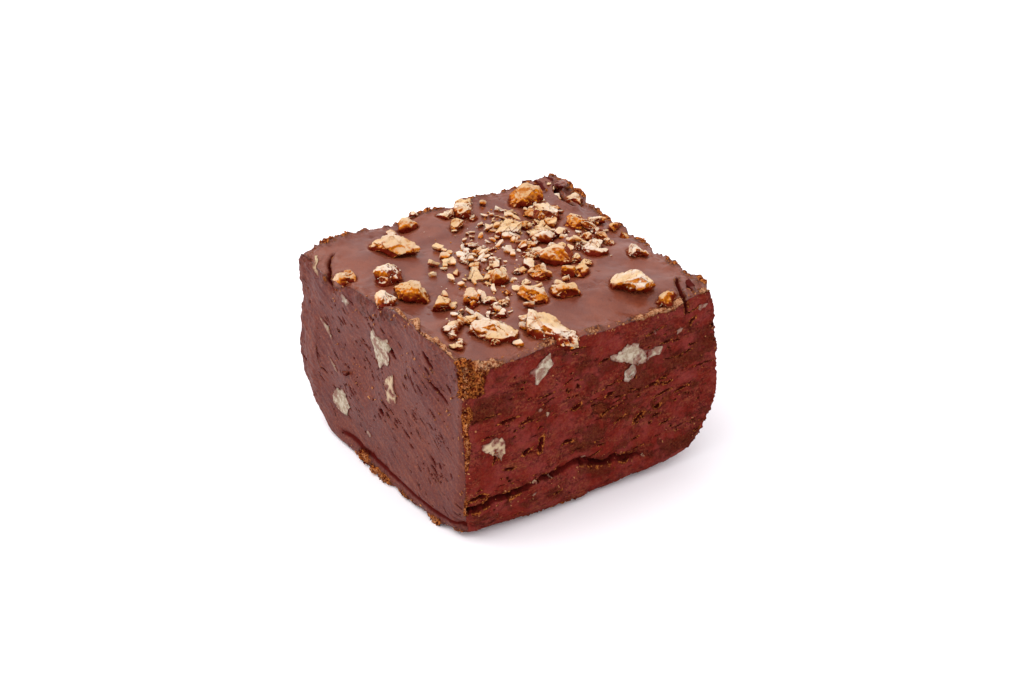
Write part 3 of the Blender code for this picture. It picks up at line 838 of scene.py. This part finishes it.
def flake(rng, size, sides=8):
    """A thin jagged flake of nut, as few faces as it needs."""
    lump = bmesh.new()
    bmesh.ops.create_cone(lump, cap_ends=True, segments=sides, radius1=0.44, radius2=0.50, depth=1.0)
    reach = [rng.uniform(0.50, 1.10) for _ in range(sides)]
    for vertex in lump.verts:
        index = round(math.atan2(vertex.co.y, vertex.co.x) / (2.0 * math.pi) * sides) % sides
        vertex.co.x *= reach[index]
        vertex.co.y *= reach[index]
        vertex.co.z += rng.uniform(-0.18, 0.18)
    thick = rng.uniform(0.14, 0.40)
    bmesh.ops.scale(lump, vec=(size, size * rng.uniform(0.45, 0.95), size * thick), verts=lump.verts)
    bmesh.ops.triangulate(lump, faces=lump.faces)
    return lump


def crumb_of_fudge(rng, size):
    """A rough little bit of fudge."""
    lump = bmesh.new()
    bmesh.ops.create_icosphere(lump, subdivisions=1, radius=0.5)
    for vertex in lump.verts:
        vertex.co *= rng.uniform(0.45, 1.25)
    flat = (size, size * rng.uniform(0.45, 1.0), size * rng.uniform(0.35, 0.8))
    bmesh.ops.scale(lump, vec=flat, verts=lump.verts)
    return lump


def turned(rng, lean):
    """A random turn about the upright axis, after a lean of up to so many degrees."""
    lean = math.radians(lean)
    turn = (rng.uniform(-lean, lean), rng.uniform(-lean, lean), rng.uniform(0.0, 2.0 * math.pi))
    return Euler(turn).to_matrix().to_4x4()


# ---------------------------------------------------------------- finishes

def fudge_finish():
    """Soft dark fudge: dull mauve-brown where it was cut, tan and orange-brown where it crumbled, with
    painted shade in its pits, cracks and creases and a painted dark red contact shadow around the nuts.
    """
    finish = Finish("fudge")
    place = finish.place()
    crumb = finish.attribute("crumb")
    pale = finish.attribute("pale")
    tan = finish.attribute("tan")
    pit = finish.attribute("pit")
    near = finish.attribute("near")
    around = finish.attribute("around")
    front = finish.attribute("front")
    side = finish.attribute("side")
    lid = finish.attribute("lid")
    clouds = finish.speckle(place, 170.0, 3.0, 0.5)
    mottle = finish.speckle(place, 900.0, 3.0, 0.6)
    grain = finish.speckle(place, 2600.0, 3.0, 0.65)
    fine = finish.speckle(place, 5200.0, 3.0, 0.7)
    level = finish.stretched(place, (3.0 * MM, 3.0 * MM, 0.7 * MM))
    streaks = finish.speckle(level, 1.0, 4.0, 0.65)
    drawn = finish.stretched(place, (1.0 * MM, 4.0 * MM, 0.6 * MM), (math.radians(28.0), 0.0, 0.0))
    scrapes = finish.speckle(drawn, 1.0, 4.0, 0.65)
    left_colour = finish.blend(clouds.step(0.35, 0.65), (0.104, 0.016, 0.011), (0.128, 0.022, 0.012))
    left_colour = finish.blend(scrapes.step(0.52, 0.68) * 0.60, left_colour, (0.200, 0.052, 0.026))
    left_colour = finish.blend(scrapes.step(0.48, 0.32) * 0.60, left_colour, (0.052, 0.005, 0.004))
    bloom = finish.speckle(place, 330.0, 3.0, 0.6).step(0.36, 0.68)
    front_colour = finish.blend(bloom, (0.160, 0.012, 0.007), (0.208, 0.029, 0.024))
    torn = finish.speckle(
        finish.stretched(place, (6.0 * MM, 6.0 * MM, 3.0 * MM)), 1.0, 3.0, 0.6).step(0.44, 0.58)
    front_colour = finish.blend(
        streaks.step(0.53, 0.64) * (0.05 + 0.50 * torn), front_colour, (0.250, 0.062, 0.024))
    front_colour = finish.blend(
        streaks.step(0.47, 0.38) * (0.16 + 0.42 * torn), front_colour, (0.036, 0.003, 0.002))
    lid_colour = finish.blend(clouds.step(0.38, 0.62), (0.150, 0.030, 0.013), (0.205, 0.048, 0.021))
    cut = side.most(1.0 - front - lid)
    colour = finish.blend(cut, lid_colour, left_colour)
    colour = finish.blend(front, colour, front_colour)
    colour = finish.blend(mottle.step(0.52, 0.72) * (0.10 + 0.20 * front), colour, (0.200, 0.046, 0.018))
    colour = finish.blend(mottle.step(0.48, 0.32) * (0.10 + 0.30 * front), colour, (0.060, 0.006, 0.004))
    share = 0.12 + 0.24 * cut + front * (0.12 + 0.42 * torn)
    colour = finish.blend(grain.step(0.52, 0.66) * share, colour, (0.280, 0.078, 0.032))
    colour = finish.blend(grain.step(0.47, 0.33) * share, colour, (0.034, 0.003, 0.002))
    tan_share = (tan + (fine - 0.5) * 0.9).step(0.25, 0.75)
    tan_colour = finish.blend(grain.step(0.35, 0.65), (0.130, 0.018, 0.007), (0.240, 0.060, 0.022))
    colour = finish.blend(tan_share * 0.60, colour, tan_colour)
    crumb_share = (crumb + (fine - 0.5) * 0.9).step(0.30, 0.65)
    crumb_colour = finish.blend(grain.step(0.40, 0.60), (0.110, 0.009, 0.002), (0.620, 0.190, 0.040))
    pale_colour = finish.blend(grain.step(0.38, 0.58), (0.300, 0.080, 0.022), (0.700, 0.370, 0.200))
    crumb_colour = finish.blend((pale + (mottle - 0.5) * 0.8).step(0.35, 0.75), crumb_colour, pale_colour)
    crumb_colour = finish.blend(mottle.step(0.45, 0.36) * 0.90, crumb_colour, (0.060, 0.003, 0.002))
    colour = finish.blend(crumb_share * 0.9, colour, crumb_colour)
    # Painted contact shadow: dark red on the fudge close around the nuts
    colour = finish.blend(
        (near + (mottle - 0.5) * 1.2).step(0.25, 0.80) * 0.85, colour, (0.095, 0.007, 0.003))
    stain = (around + (fine - 0.5) * 1.6 + (mottle - 0.5) * 1.2).step(0.80, 1.15)
    colour = finish.blend(stain * lid * 0.8, colour, (0.260, 0.070, 0.028))
    # Painted shade: pits, slits, cracks and creases go dark red, and near black where deepest
    colour = finish.blend(pit.step(0.05, 0.32) * 0.92, colour, (0.070, 0.004, 0.003))
    colour = finish.blend(pit.step(0.55, 0.90) * 0.9, colour, (0.010, 0.001, 0.001))
    rough_share = crumb_share.most(tan_share)
    sheen = (1.0 - rough_share) * (1.0 - pit.step(0.0, 0.4)) * (1.0 - near.step(0.25, 0.85))
    sheen = sheen * (lid * 0.85 + cut * 0.42 + front * 0.03)
    height = (fine * (0.4 + 0.4 * front) + mottle * 0.6
              + grain * (0.35 + 1.8 * rough_share + 1.0 * front * torn))
    height = height + streaks * front * (1.0 + 1.6 * torn) + scrapes * side * 1.6
    relief = finish.bump(height, 0.00026, 1.0)
    finish.shader.inputs["Specular IOR Level"].default_value = 0.02
    finish.shader.inputs["Coat Roughness"].default_value = 0.38
    return finish.set(Base_Color=colour, Roughness=0.70 + rough_share * 0.2, Coat_Weight=sheen, Normal=relief)


def nut_finish():
    """Chopped nut: cream on its broken faces, amber down its sides, partly its skin and partly painted shade,
    and a painted dark red shadow where it meets the fudge.
    """
    finish = Finish("nut_flesh")
    place = finish.place()
    steep = finish.attribute("steep")
    high = finish.attribute("high")
    tone = finish.attribute("tone")
    smear = finish.attribute("smear")
    seam = finish.attribute("seam")
    skin = finish.attribute("skin")
    patches = finish.speckle(place, 620.0, 3.0, 0.55)
    grain = finish.speckle(place, 1700.0, 4.0, 0.6)
    fine = finish.speckle(place, 5600.0, 3.0, 0.7)
    kind = finish.speckle(place, 190.0, 2.0, 0.5)
    flesh = finish.blend(kind.step(0.38, 0.62), (0.70, 0.58, 0.47), (0.66, 0.45, 0.25))
    flesh = finish.blend(tone, flesh, (0.50, 0.28, 0.12))
    flesh = finish.blend(patches.step(0.50, 0.66) * 0.45, flesh, (0.50, 0.29, 0.13))
    flesh = finish.blend(grain.step(0.60, 0.78) * 0.45, flesh, (0.36, 0.17, 0.09))
    flesh = finish.blend((seam + (patches - 0.5) * 3.0).step(0.70, 1.30) * 0.55, flesh, (0.36, 0.12, 0.025))
    # Amber: the nut's skin on the side towards the camera and down, and in patches on steep sides, with
    # painted shade on steep, low faces
    amber = finish.blend(grain.step(0.40, 0.68), (0.60, 0.185, 0.002), (0.36, 0.060, 0.001))
    other = (finish.speckle(place, 230.0, 2.0, 0.5) - 0.5) * 5.0 * steep - 0.2
    skin = skin.most(other)
    down = skin * 0.9 + steep * 0.35 - high * 0.16 + (patches - 0.5) * 0.9 + (tone - 0.3) * 0.7
    colour = finish.blend((down + (grain - 0.5) * 0.3).step(-0.15, 0.50), flesh, amber)
    skin_patch = (tone - 0.35) * (patches + (grain - 0.5) * 0.5).step(0.54, 0.66)
    colour = finish.blend(skin_patch.step(0.0, 0.30) * 0.7, colour, (0.42, 0.14, 0.025))
    # Painted shadow: dark red low on the nut's sides, where it meets the fudge
    under = skin * 0.6 + steep * 0.6 - high * 0.42 + (grain - 0.5) * 0.4
    colour = finish.blend(under.step(-0.05, 0.75), colour, (0.14, 0.008, 0.001))
    smeared = (smear + (patches - 0.5) * 1.2).step(0.45, 0.75)
    smear_colour = finish.blend(grain.step(0.45, 0.75), (0.14, 0.014, 0.004), (0.32, 0.085, 0.020))
    colour = finish.blend(smeared, colour, smear_colour)
    relief = finish.bump(fine * 0.5 + grain, 0.00012, 0.7)
    finish.shader.inputs["Subsurface Weight"].default_value = 0.10
    finish.shader.inputs["Subsurface Radius"].default_value = (1.0, 0.45, 0.20)
    finish.shader.inputs["Subsurface Scale"].default_value = 0.0007
    finish.shader.inputs["Specular IOR Level"].default_value = 0.08
    return finish.set(Base_Color=colour, Roughness=0.50 + grain * 0.3, Normal=relief)


def cut_nut_finish():
    """Nut that the knife went through: grey, see-through at its edges and smeared with fudge."""
    finish = Finish("cut_nut")
    place = finish.place()
    inner = finish.attribute("inner")
    tone = finish.attribute("tone")
    grain = finish.speckle(place, 1500.0, 4.0, 0.6)
    smear = finish.speckle(place, 520.0, 4.0, 0.65)
    flesh = finish.blend(grain.step(0.40, 0.62), (0.42, 0.37, 0.29), (0.22, 0.16, 0.11))
    flesh = finish.blend(tone, flesh, (0.50, 0.36, 0.21))
    edge = 1.0 - (inner + (smear - 0.5) * 1.3 + (grain - 0.5) * 0.5).step(0.02, 0.62)
    colour = finish.blend(smear.step(0.50, 0.60) * 0.75, flesh, (0.17, 0.055, 0.035))
    colour = finish.blend(edge * 0.92, colour, (0.140, 0.026, 0.018))
    relief = finish.bump(grain, 0.00012, 0.6)
    finish.shader.inputs["Specular IOR Level"].default_value = 0.25
    return finish.set(Base_Color=colour, Roughness=0.55 + smear * 0.2, Normal=relief)


def crumb_finish():
    """Loose crumbs of fudge."""
    finish = Finish("fudge_crumb")
    place = finish.place()
    mottle = finish.speckle(place, 1300.0, 3.0, 0.6)
    colour = finish.blend(mottle.step(0.35, 0.65), (0.480, 0.200, 0.080), (0.150, 0.028, 0.010))
    relief = finish.bump(finish.speckle(place, 6000.0, 3.0, 0.7), 0.0001, 0.8)
    finish.shader.inputs["Specular IOR Level"].default_value = 0.12
    return finish.set(Base_Color=colour, Roughness=0.85, Normal=relief)


def table_finish():
    finish = Finish("table")
    place = finish.place()
    tint = finish.speckle(place, 3.0, 2.0, 0.5)
    colour = finish.blend(tint, (0.985, 0.960, 0.99), (0.965, 0.945, 0.97))
    return finish.set(Base_Color=colour, Roughness=0.85)


# ---------------------------------------------------------------- putting it together

# How tan each nut's flesh is, from 0 to 1, and which way its faces are smeared with fudge
NUT_LOOKS = {
    "nut_walnut_half": (0.12, None),
    "nut_big_wedge": (0.00, None),
    "nut_near_rim_long": (0.15, None),
    "nut_left_cluster": (0.50, None),
    "nut_middle_dark": (0.25, (0.9, -0.4, 0.1)),
    "nut_far_branched": (0.10, (-0.8, -0.4, 0.1)),
    "nut_tan_ridge": (0.55, None),
    "nut_left_tan": (0.55, None),
    "nut_left_split": (0.15, (0.7, -0.7, 0.0)),
    "nut_far_corner": (0.75, None),
    "nut_far_rim_orange": (0.50, None),
    "nut_middle_brown": (0.60, None),
    "nut_middle_orange": (0.60, None),
    "nut_centre_upright": (0.45, None),
    "nut_left_small": (0.40, None),
    "nut_right_orange": (0.50, None),
    "nut_far_orange": (0.60, (0.8, -0.5, 0.0)),
    "nut_left_round": (0.15, None),
    "nut_left_tear": (0.60, None),
    "nut_right_tear": (0.50, None),
    "nut_middle_left": (0.50, None),
}
USUAL_LOOK = (0.14, None)
NO_SMEAR = (0.0, 0.0, 0.0)

# Nut that shows in the cut sides but has no solid of its own: side, place along it and height,
# length, width, turn and tone. Millimetres and degrees.
SIDE_CHIPS = [
    ("left", 16.6, 19.3, 5.4, 1.2, 35, 0.3), ("left", 9.9, 27.8, 2.9, 1.5, 15, 0.0),
    ("left", 20.6, 29.2, 4.2, 0.9, 40, 0.9), ("left", 2.8, 6.1, 1.5, 1.2, 0, 0.2),
    ("left", 13.4, 14.2, 3.4, 0.8, 30, 0.2), ("left", 0.4, 26.0, 2.4, 1.5, 30, 0.0),
    ("front", 7.3, 20.9, 2.9, 2.5, 20, 0.0), ("front", 13.1, 27.1, 4.6, 2.0, 50, 0.1),
    ("front", 22.0, 28.7, 2.0, 1.0, 10, 0.4), ("front", -12.3, 7.7, 1.0, 0.8, 60, 1.0),
    ("front", -9.0, 7.2, 0.9, 0.7, 20, 1.0), ("front", -1.6, 8.2, 0.8, 0.5, 10, 0.9),
    ("front", -12.3, 5.6, 0.9, 0.5, 30, 0.7), ("front", 10.0, 4.6, 0.6, 0.5, 0, 0.9),
    ("front", -10.6, 20.2, 0.8, 0.6, 30, 0.8), ("front", -9.2, 19.0, 0.9, 0.6, 80, 0.6),
    ("front", 17.3, 25.6, 1.4, 0.8, 40, 0.2),
]


def nut_meshes():
    """The meshes of the nuts that are solids, by node."""
    meshes = {}
    for index, node in enumerate(sorted(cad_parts)):
        if node != "fudge":
            meshes[node] = nut_from_solid(node, 300 + index, 0 if node.startswith("nut_cut") else 2)
    return meshes


# Where the smaller chopped nuts lie: middle in x and y, reach, how many, and their least and
# greatest length. Millimetres.
NUT_PATCHES = [
    (13.0, 9.0, 9.0, 20, 2.0, 5.0), (10.0, -1.0, 6.0, 11, 2.0, 4.5), (-2.0, 4.0, 6.0, 14, 1.5, 4.0),
    (-12.0, -11.0, 6.0, 14, 1.8, 4.2), (0.0, 19.0, 6.0, 5, 2.5, 4.5), (21.0, 0.0, 5.0, 6, 2.0, 4.0),
    (-19.0, -18.0, 3.5, 5, 1.5, 3.5), (4.0, -9.0, 6.0, 5, 1.2, 2.5),
]


def strewn_nuts():
    """Rows for the smaller chopped nuts: place, sizes, turns, breaks, seed and tone, by chance."""
    rng = random.Random(45)
    rows = []
    for middle_x, middle_y, reach, count, least, greatest in NUT_PATCHES:
        for _ in range(count):
            x = min(23.5, max(-23.5, rng.gauss(middle_x, reach * 0.6)))
            y = min(23.5, max(-23.0, rng.gauss(middle_y, reach * 0.6)))
            length = rng.uniform(least, greatest)
            sizes = (length, length * rng.uniform(0.45, 0.85), length * rng.uniform(0.35, 0.65))
            turns = (rng.uniform(-90.0, 90.0), rng.uniform(-25.0, 25.0), rng.uniform(-25.0, 25.0))
            rows.append((x, y, *sizes, *turns, rng.uniform(0.30, 0.40), rng.randint(5, 8),
                         rng.randint(1, 999),
                         rng.choice((0.0, 0.05, 0.1, 0.3, 0.5, 0.7))))
    return rows


def further_nuts(ground, shift):
    """The mesh of the chopped nuts that are no solids, and their tones."""
    heap = Heap()
    for row in strewn_nuts():
        x, y, length, width, thickness = (value * MM for value in row[:5])
        bearing = Euler([math.radians(angle) for angle in (row[6], row[7], row[5])]).to_matrix().to_4x4()
        spot = ground.below(x + shift.x, y + shift.y)
        if spot is None:
            continue
        lump = nut_chunk(float(row[10]), (length, width, thickness), bearing, row[9])
        break_up(lump, row[10], 1, (0.80, 0.95))
        heap.add(lump, Matrix.Translation(spot + Vector((0.0, 0.0, thickness * (0.5 - row[8])))), row[11])
    mesh = heap.mesh("further_nuts")
    roughen_nut(mesh, 7, 0.8)
    return mesh, heap.tones()


def press_in(skin, nuts):
    """Mark the fudge that touches a nut for its painted contact shadow, and let it sink a little there."""
    places = places_of(skin)
    corners = []
    triangles = []
    for mesh in nuts:
        first = len(corners)
        corners.extend(places_of(mesh).tolist())
        triangles.extend([[first + index for index in polygon.vertices] for polygon in mesh.polygons])
    tree = BVHTree.FromPolygons(corners, triangles)
    gap = np.full(len(places), 9.0)
    for index in np.nonzero(places[:, 2] > 0.024)[0]:
        hit = tree.find_nearest(Vector(places[index]), 0.0025)
        if hit[0] is not None:
            gap[index] = hit[3] / MM
    near = hump(gap / 0.38)
    places[:, 2] += MM * (0.06 * hump((gap - 1.0) / 0.5) - 0.18 * near)
    move_to(skin, places)
    # How near the fudge lies to a nut, for its painted contact shadow
    mark(skin, "near", near)
    mark(skin, "around", hump(gap / 1.7))


def add_nuts(meshes, ground, flesh):
    for node, mesh in meshes.items():
        tone, smear = NUT_LOOKS.get(node, USUAL_LOOK)
        places = places_of(mesh)
        mark_nut(mesh, ground, np.clip(tone + 0.35 * rough(places / MM, 2.0, 9, 2), 0.0, 1.0),
                 np.array(Vector(smear or NO_SMEAR)))
        add_piece("chopped_" + node.removeprefix("nut_"), mesh, flesh, "nut", node)


def lay_flush(mesh, ground, way, stand):
    """Press the outer face of a cut nut back to the side it lies in, and mark how far it stands out."""
    places = places_of(mesh)
    proud = ground.proud(places, way)
    over = np.maximum(0.0, proud - stand * (1.0 + 0.3 * rough(places / MM, 0.9, 3)))
    move_to(mesh, places + np.array(way) * (MM * over)[:, None])
    buried = KDTree(len(places))
    for index in np.nonzero(proud < 0.04)[0]:
        buried.insert(Vector(places[index]), int(index))
    buried.balance()
    mark(mesh, "inner", [buried.find(Vector(place))[2] / MM for place in places])


def add_cut_nuts(meshes, ground, cut_flesh):
    for node, mesh in meshes.items():
        way = (1.0, 0.0, 0.0) if "_left_" in node else (0.0, 1.0, 0.0)
        lay_flush(mesh, ground, way, 0.16)
        mark(mesh, "tone", np.zeros(len(mesh.vertices)) + (0.75 if node.endswith(("rod", "corner")) else 0.2))
        add_piece("flush_" + node.removeprefix("nut_"), mesh, cut_flesh, "nut", node)


def add_side_chips(ground, shift, cut_flesh):
    """Slivers of nut in the cut sides."""
    rng = random.Random(77)
    for side, way, stand in (("left", (1.0, 0.0, 0.0), Matrix(((0, 0, -1), (-1, 0, 0), (0, 1, 0)))),
                             ("front", (0.0, 1.0, 0.0), Matrix(((1, 0, 0), (0, 0, -1), (0, 1, 0))))):
        heap = Heap()
        for row_side, along, up, length, width, turn, tone in SIDE_CHIPS:
            if row_side != side:
                continue
            lump = flake(rng, 1.0, 12)
            fit_box(lump, length * MM, width * MM, 1.2 * MM)
            refine(lump, 0.0004)
            aim = Vector((-0.06, along * MM + shift.y, up * MM))
            if side == "front":
                aim = Vector((along * MM + shift.x, -0.06, up * MM))
            hit, _ = ground.towards(aim, way)
            spin = Matrix.Rotation(math.radians(-turn if side == "left" else turn), 4, "Z")
            heap.add(lump, Matrix.Translation(hit + Vector(way) * 0.0003) @ stand.to_4x4() @ spin, tone)
        mesh = heap.mesh("slivers_" + side)
        lay_flush(mesh, ground, way, 0.14)
        mark(mesh, "tone", heap.tones())
        add_piece("slivers_" + side, mesh, cut_flesh, "nut")


# Where small flakes lie thick: middle in x and y, reach and share of them
FLAKE_PATCHES = [
    (0.0, 6.0, 8.0, 0.28), (8.0, 12.0, 7.0, 0.20), (14.0, 2.0, 6.0, 0.10), (-6.0, -6.0, 9.0, 0.20),
    (-12.0, -16.0, 6.0, 0.14), (17.0, 15.0, 5.0, 0.08),
]


def add_flakes(ground, shift, flesh):
    """Flakes and dust of nut strewn over the top."""
    rng = random.Random(12)
    heap = Heap()
    weights = [patch[3] for patch in FLAKE_PATCHES]
    for index in range(520):
        middle_x, middle_y, reach, _ = rng.choices(FLAKE_PATCHES, weights)[0]
        x = rng.gauss(middle_x, reach * 0.6) * MM
        y = rng.gauss(middle_y, reach * 0.6) * MM
        if abs(x) > 0.0236 or abs(y) > 0.0240:
            continue
        large = index % 5 < 2
        size = (0.9 + 1.7 * rng.random() ** 1.5 if large else rng.uniform(0.18, 0.55)) * MM
        spot = ground.below(x + shift.x, y + shift.y)
        lift = Vector((0.0, 0.0, size * rng.uniform(0.06, 0.22)))
        tone = rng.choice((0.0, 0.0, 0.1, 0.3)) if large else rng.choice((0.0, 0.2, 0.8, 1.0))
        heap.add(flake(rng, size), Matrix.Translation(spot + lift) @ turned(rng, 34.0), tone)
    mesh = heap.mesh("nut_flakes")
    # Faces turned down and towards the camera take the dark smear colour: painted shade under the flakes
    mark_nut(mesh, ground, heap.tones(), np.array((-0.3, -0.4, -0.85)))
    mesh.attributes["high"].data.foreach_set("value", np.full(len(mesh.vertices), 1.6, dtype=np.float32))
    mark(mesh, "seam", np.zeros(len(mesh.vertices)))
    add_piece("nut_flakes", mesh, flesh, "nut", flat=True)


def add_crumbs(ground, finish):
    """Crumbs of fudge where the knife left them: on the rims, the upright edge, the foot and the top."""
    rng = random.Random(31)
    heap = Heap()
    low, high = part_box("fudge")
    down = Vector((0.0, 0.0, -1.0))
    spots = []
    for _ in range(130):
        x = low.x + (0.7 + abs(rng.gauss(0.0, 0.7))) * MM
        spots.append((Vector((x, rng.uniform(low.y, 0.016), 0.06)), down))
    for _ in range(190):
        y = low.y + (1.4 + abs(rng.gauss(0.0, 0.8))) * MM
        spots.append((Vector((rng.uniform(low.x, high.x), y, 0.06)), down))
    for _ in range(150):
        x = high.x - (0.8 + abs(rng.gauss(0.0, 0.8))) * MM
        spots.append((Vector((x, rng.uniform(low.y, high.y), 0.06)), down))
        y = high.y - (0.8 + abs(rng.gauss(0.0, 0.8))) * MM
        spots.append((Vector((rng.uniform(low.x, high.x), y, 0.06)), down))
    for _ in range(60):
        start = Vector((low.x - 0.01, low.y - 0.01, rng.uniform(0.006, 0.030)))
        aim = Vector((low.x + rng.gauss(6.0, 0.7) * MM, low.y + rng.gauss(6.0, 0.7) * MM, start.z))
        spots.append((start, (aim - start).normalized()))
    for _ in range(50):
        start = Vector((low.x - 0.01, rng.uniform(low.y, 0.010), rng.uniform(0.4, 1.6) * MM))
        spots.append((start, Vector((1.0, 0.0, 0.0))))
    for _ in range(60):
        start = Vector((rng.uniform(low.x, high.x), low.y - 0.01, rng.uniform(0.004, 0.008)))
        spots.append((start, Vector((0.0, 1.0, 0.0))))
    for start, way in spots:
        hit, facing = ground.towards(start, way)
        if hit is not None:
            size = (0.20 + 0.45 * rng.random() ** 2) * MM
            heap.add(crumb_of_fudge(rng, size),
                     Matrix.Translation(hit + facing * size * 0.12) @ turned(rng, 180.0))
    add_piece("fudge_crumbs", heap.mesh("fudge_crumbs"), finish, "fudge", flat=True)


# Thin shards of fudge lifted at the cracks: place in x and y, length, width, turn, tilt and roll
SHARDS = [
    (21.8, 20.8, 5.6, 3.6, 35, 12, -8), (24.2, 18.2, 5.0, 2.4, 70, -12, 14),
    (20.0, 22.8, 4.2, 2.2, 10, 14, 8),
    (24.6, 13.4, 3.6, 1.6, 95, 10, 24), (20.8, -23.4, 3.2, 1.2, 80, 12, -20),
    (-25.4, 9.4, 3.0, 1.3, 60, -10, 18),
]


def add_shards(ground, shift, finish):
    """Shards of the top's skin that broke up along the cracks."""
    rng = random.Random(58)
    heap = Heap()
    for x, y, length, width, turn, tilt, roll in SHARDS:
        lump = flake(rng, 1.0, 9)
        fit_box(lump, length * MM, width * MM, 0.7 * MM)
        refine(lump, 0.0004)
        spot = ground.below(x * MM + shift.x, y * MM + shift.y)
        if spot is not None:
            bearing = Euler([math.radians(angle) for angle in (tilt, roll, turn)]).to_matrix().to_4x4()
            heap.add(lump, Matrix.Translation(spot + Vector((0.0, 0.0, 0.0003))) @ bearing)
    mesh = heap.mesh("fudge_shards")
    places = places_of(mesh)
    at = places / MM
    move_to(mesh, places + normals_of(mesh)
            * (MM * (0.14 * rough(at, 1.2, 5) + 0.10 * rough(at, 0.5, 6)))[:, None])
    mark(mesh, "lid", np.ones(len(at)))
    mark(mesh, "crumb", 0.75 * rise(rough(at, 0.9, 8), 0.05, 0.40))
    # Random patches take the dark colour that the finish paints into pits as shade
    mark(mesh, "pit", 0.35 * rise(rough(at, 1.6, 9), -0.05, 0.25))
    add_piece("fudge_shards", mesh, finish, "fudge")


def add_table():
    bpy.ops.mesh.primitive_plane_add(size=4.0)
    table = bpy.context.object
    table.name = "table"
    table.data.materials.append(table_finish())


def add_light(name, place, aim, size, power, colour):
    data = bpy.data.lights.new(name, "AREA")
    data.shape = "DISK"
    data.size = size
    data.energy = power
    data.color = colour
    light = bpy.data.objects.new(name, data)
    light.location = place
    light.rotation_euler = (Vector(aim) - Vector(place)).to_track_quat("-Z", "Y").to_euler()
    bpy.context.scene.collection.objects.link(light)


def add_lights():
    """A white room with one large soft light high on the left."""
    world = bpy.data.worlds.new("studio")
    world.use_nodes = True
    world.node_tree.nodes["Background"].inputs["Color"].default_value = (1.0, 0.985, 1.0, 1.0)
    world.node_tree.nodes["Background"].inputs["Strength"].default_value = 1.3
    bpy.context.scene.world = world
    add_light("key", (-0.45, 0.30, 0.90), (0.0, 0.0, 0.02), 0.9, 4.5, (1.0, 0.985, 0.96))
    bpy.context.scene.view_settings.view_transform = "Standard"


def add_camera(shift):
    """The viewing angle: 34 degrees to the left of the front and 30 degrees up."""
    around = math.radians(-34.1)
    up_angle = math.radians(29.6)
    back = Vector((math.sin(around) * math.cos(up_angle), -math.cos(around) * math.cos(up_angle),
                   math.sin(up_angle)))
    right = Vector((math.cos(around), math.sin(around), 0.0))
    target = Vector((0.0, 0.0, 0.0150)) + right * 0.0014 + back.cross(right) * 0.0018 + shift
    data = bpy.data.cameras.new("camera")
    data.lens = 91.4
    data.sensor_width = 36.0
    data.clip_start = 0.01
    camera = bpy.data.objects.new("camera", data)
    camera.location = target + back * 0.438
    camera.rotation_euler = back.to_track_quat("Z", "Y").to_euler()
    bpy.context.scene.collection.objects.link(camera)
    bpy.context.scene.camera = camera


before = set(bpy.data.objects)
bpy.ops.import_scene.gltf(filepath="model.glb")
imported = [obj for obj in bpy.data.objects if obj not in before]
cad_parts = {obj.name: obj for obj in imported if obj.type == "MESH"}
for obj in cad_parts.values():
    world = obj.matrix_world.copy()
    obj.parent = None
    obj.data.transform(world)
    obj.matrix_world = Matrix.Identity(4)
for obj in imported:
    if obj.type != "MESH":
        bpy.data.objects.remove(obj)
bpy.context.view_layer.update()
SHIFT = frame_shift()

skin = fudge_skin()
skin.transform(Matrix.Translation(SHIFT))
resting = Ground(skin)
solid_nuts = nut_meshes()
cut_nuts = {node: solid_nuts.pop(node) for node in sorted(solid_nuts) if node.startswith("nut_cut")}
small_nuts, small_tones = further_nuts(resting, SHIFT)
press_in(skin, [*solid_nuts.values(), small_nuts])
skin = thinned(skin, SKIN_TRIANGLES)
skin.name = "fudge_skin"
soft_fudge = fudge_finish()
add_piece("fudge_skin", skin, soft_fudge, "fudge", "fudge")
add_shards(resting, SHIFT, soft_fudge)
nut_flesh = nut_finish()
cut_flesh = cut_nut_finish()
add_nuts(solid_nuts, resting, nut_flesh)
add_cut_nuts(cut_nuts, resting, cut_flesh)
mark_nut(small_nuts, resting, small_tones, np.array(NO_SMEAR))
add_piece("further_nuts", small_nuts, nut_flesh, "nut")
add_side_chips(resting, SHIFT, cut_flesh)
add_flakes(resting, SHIFT, nut_flesh)
add_crumbs(resting, crumb_finish())
add_table()
add_lights()
add_camera(SHIFT)
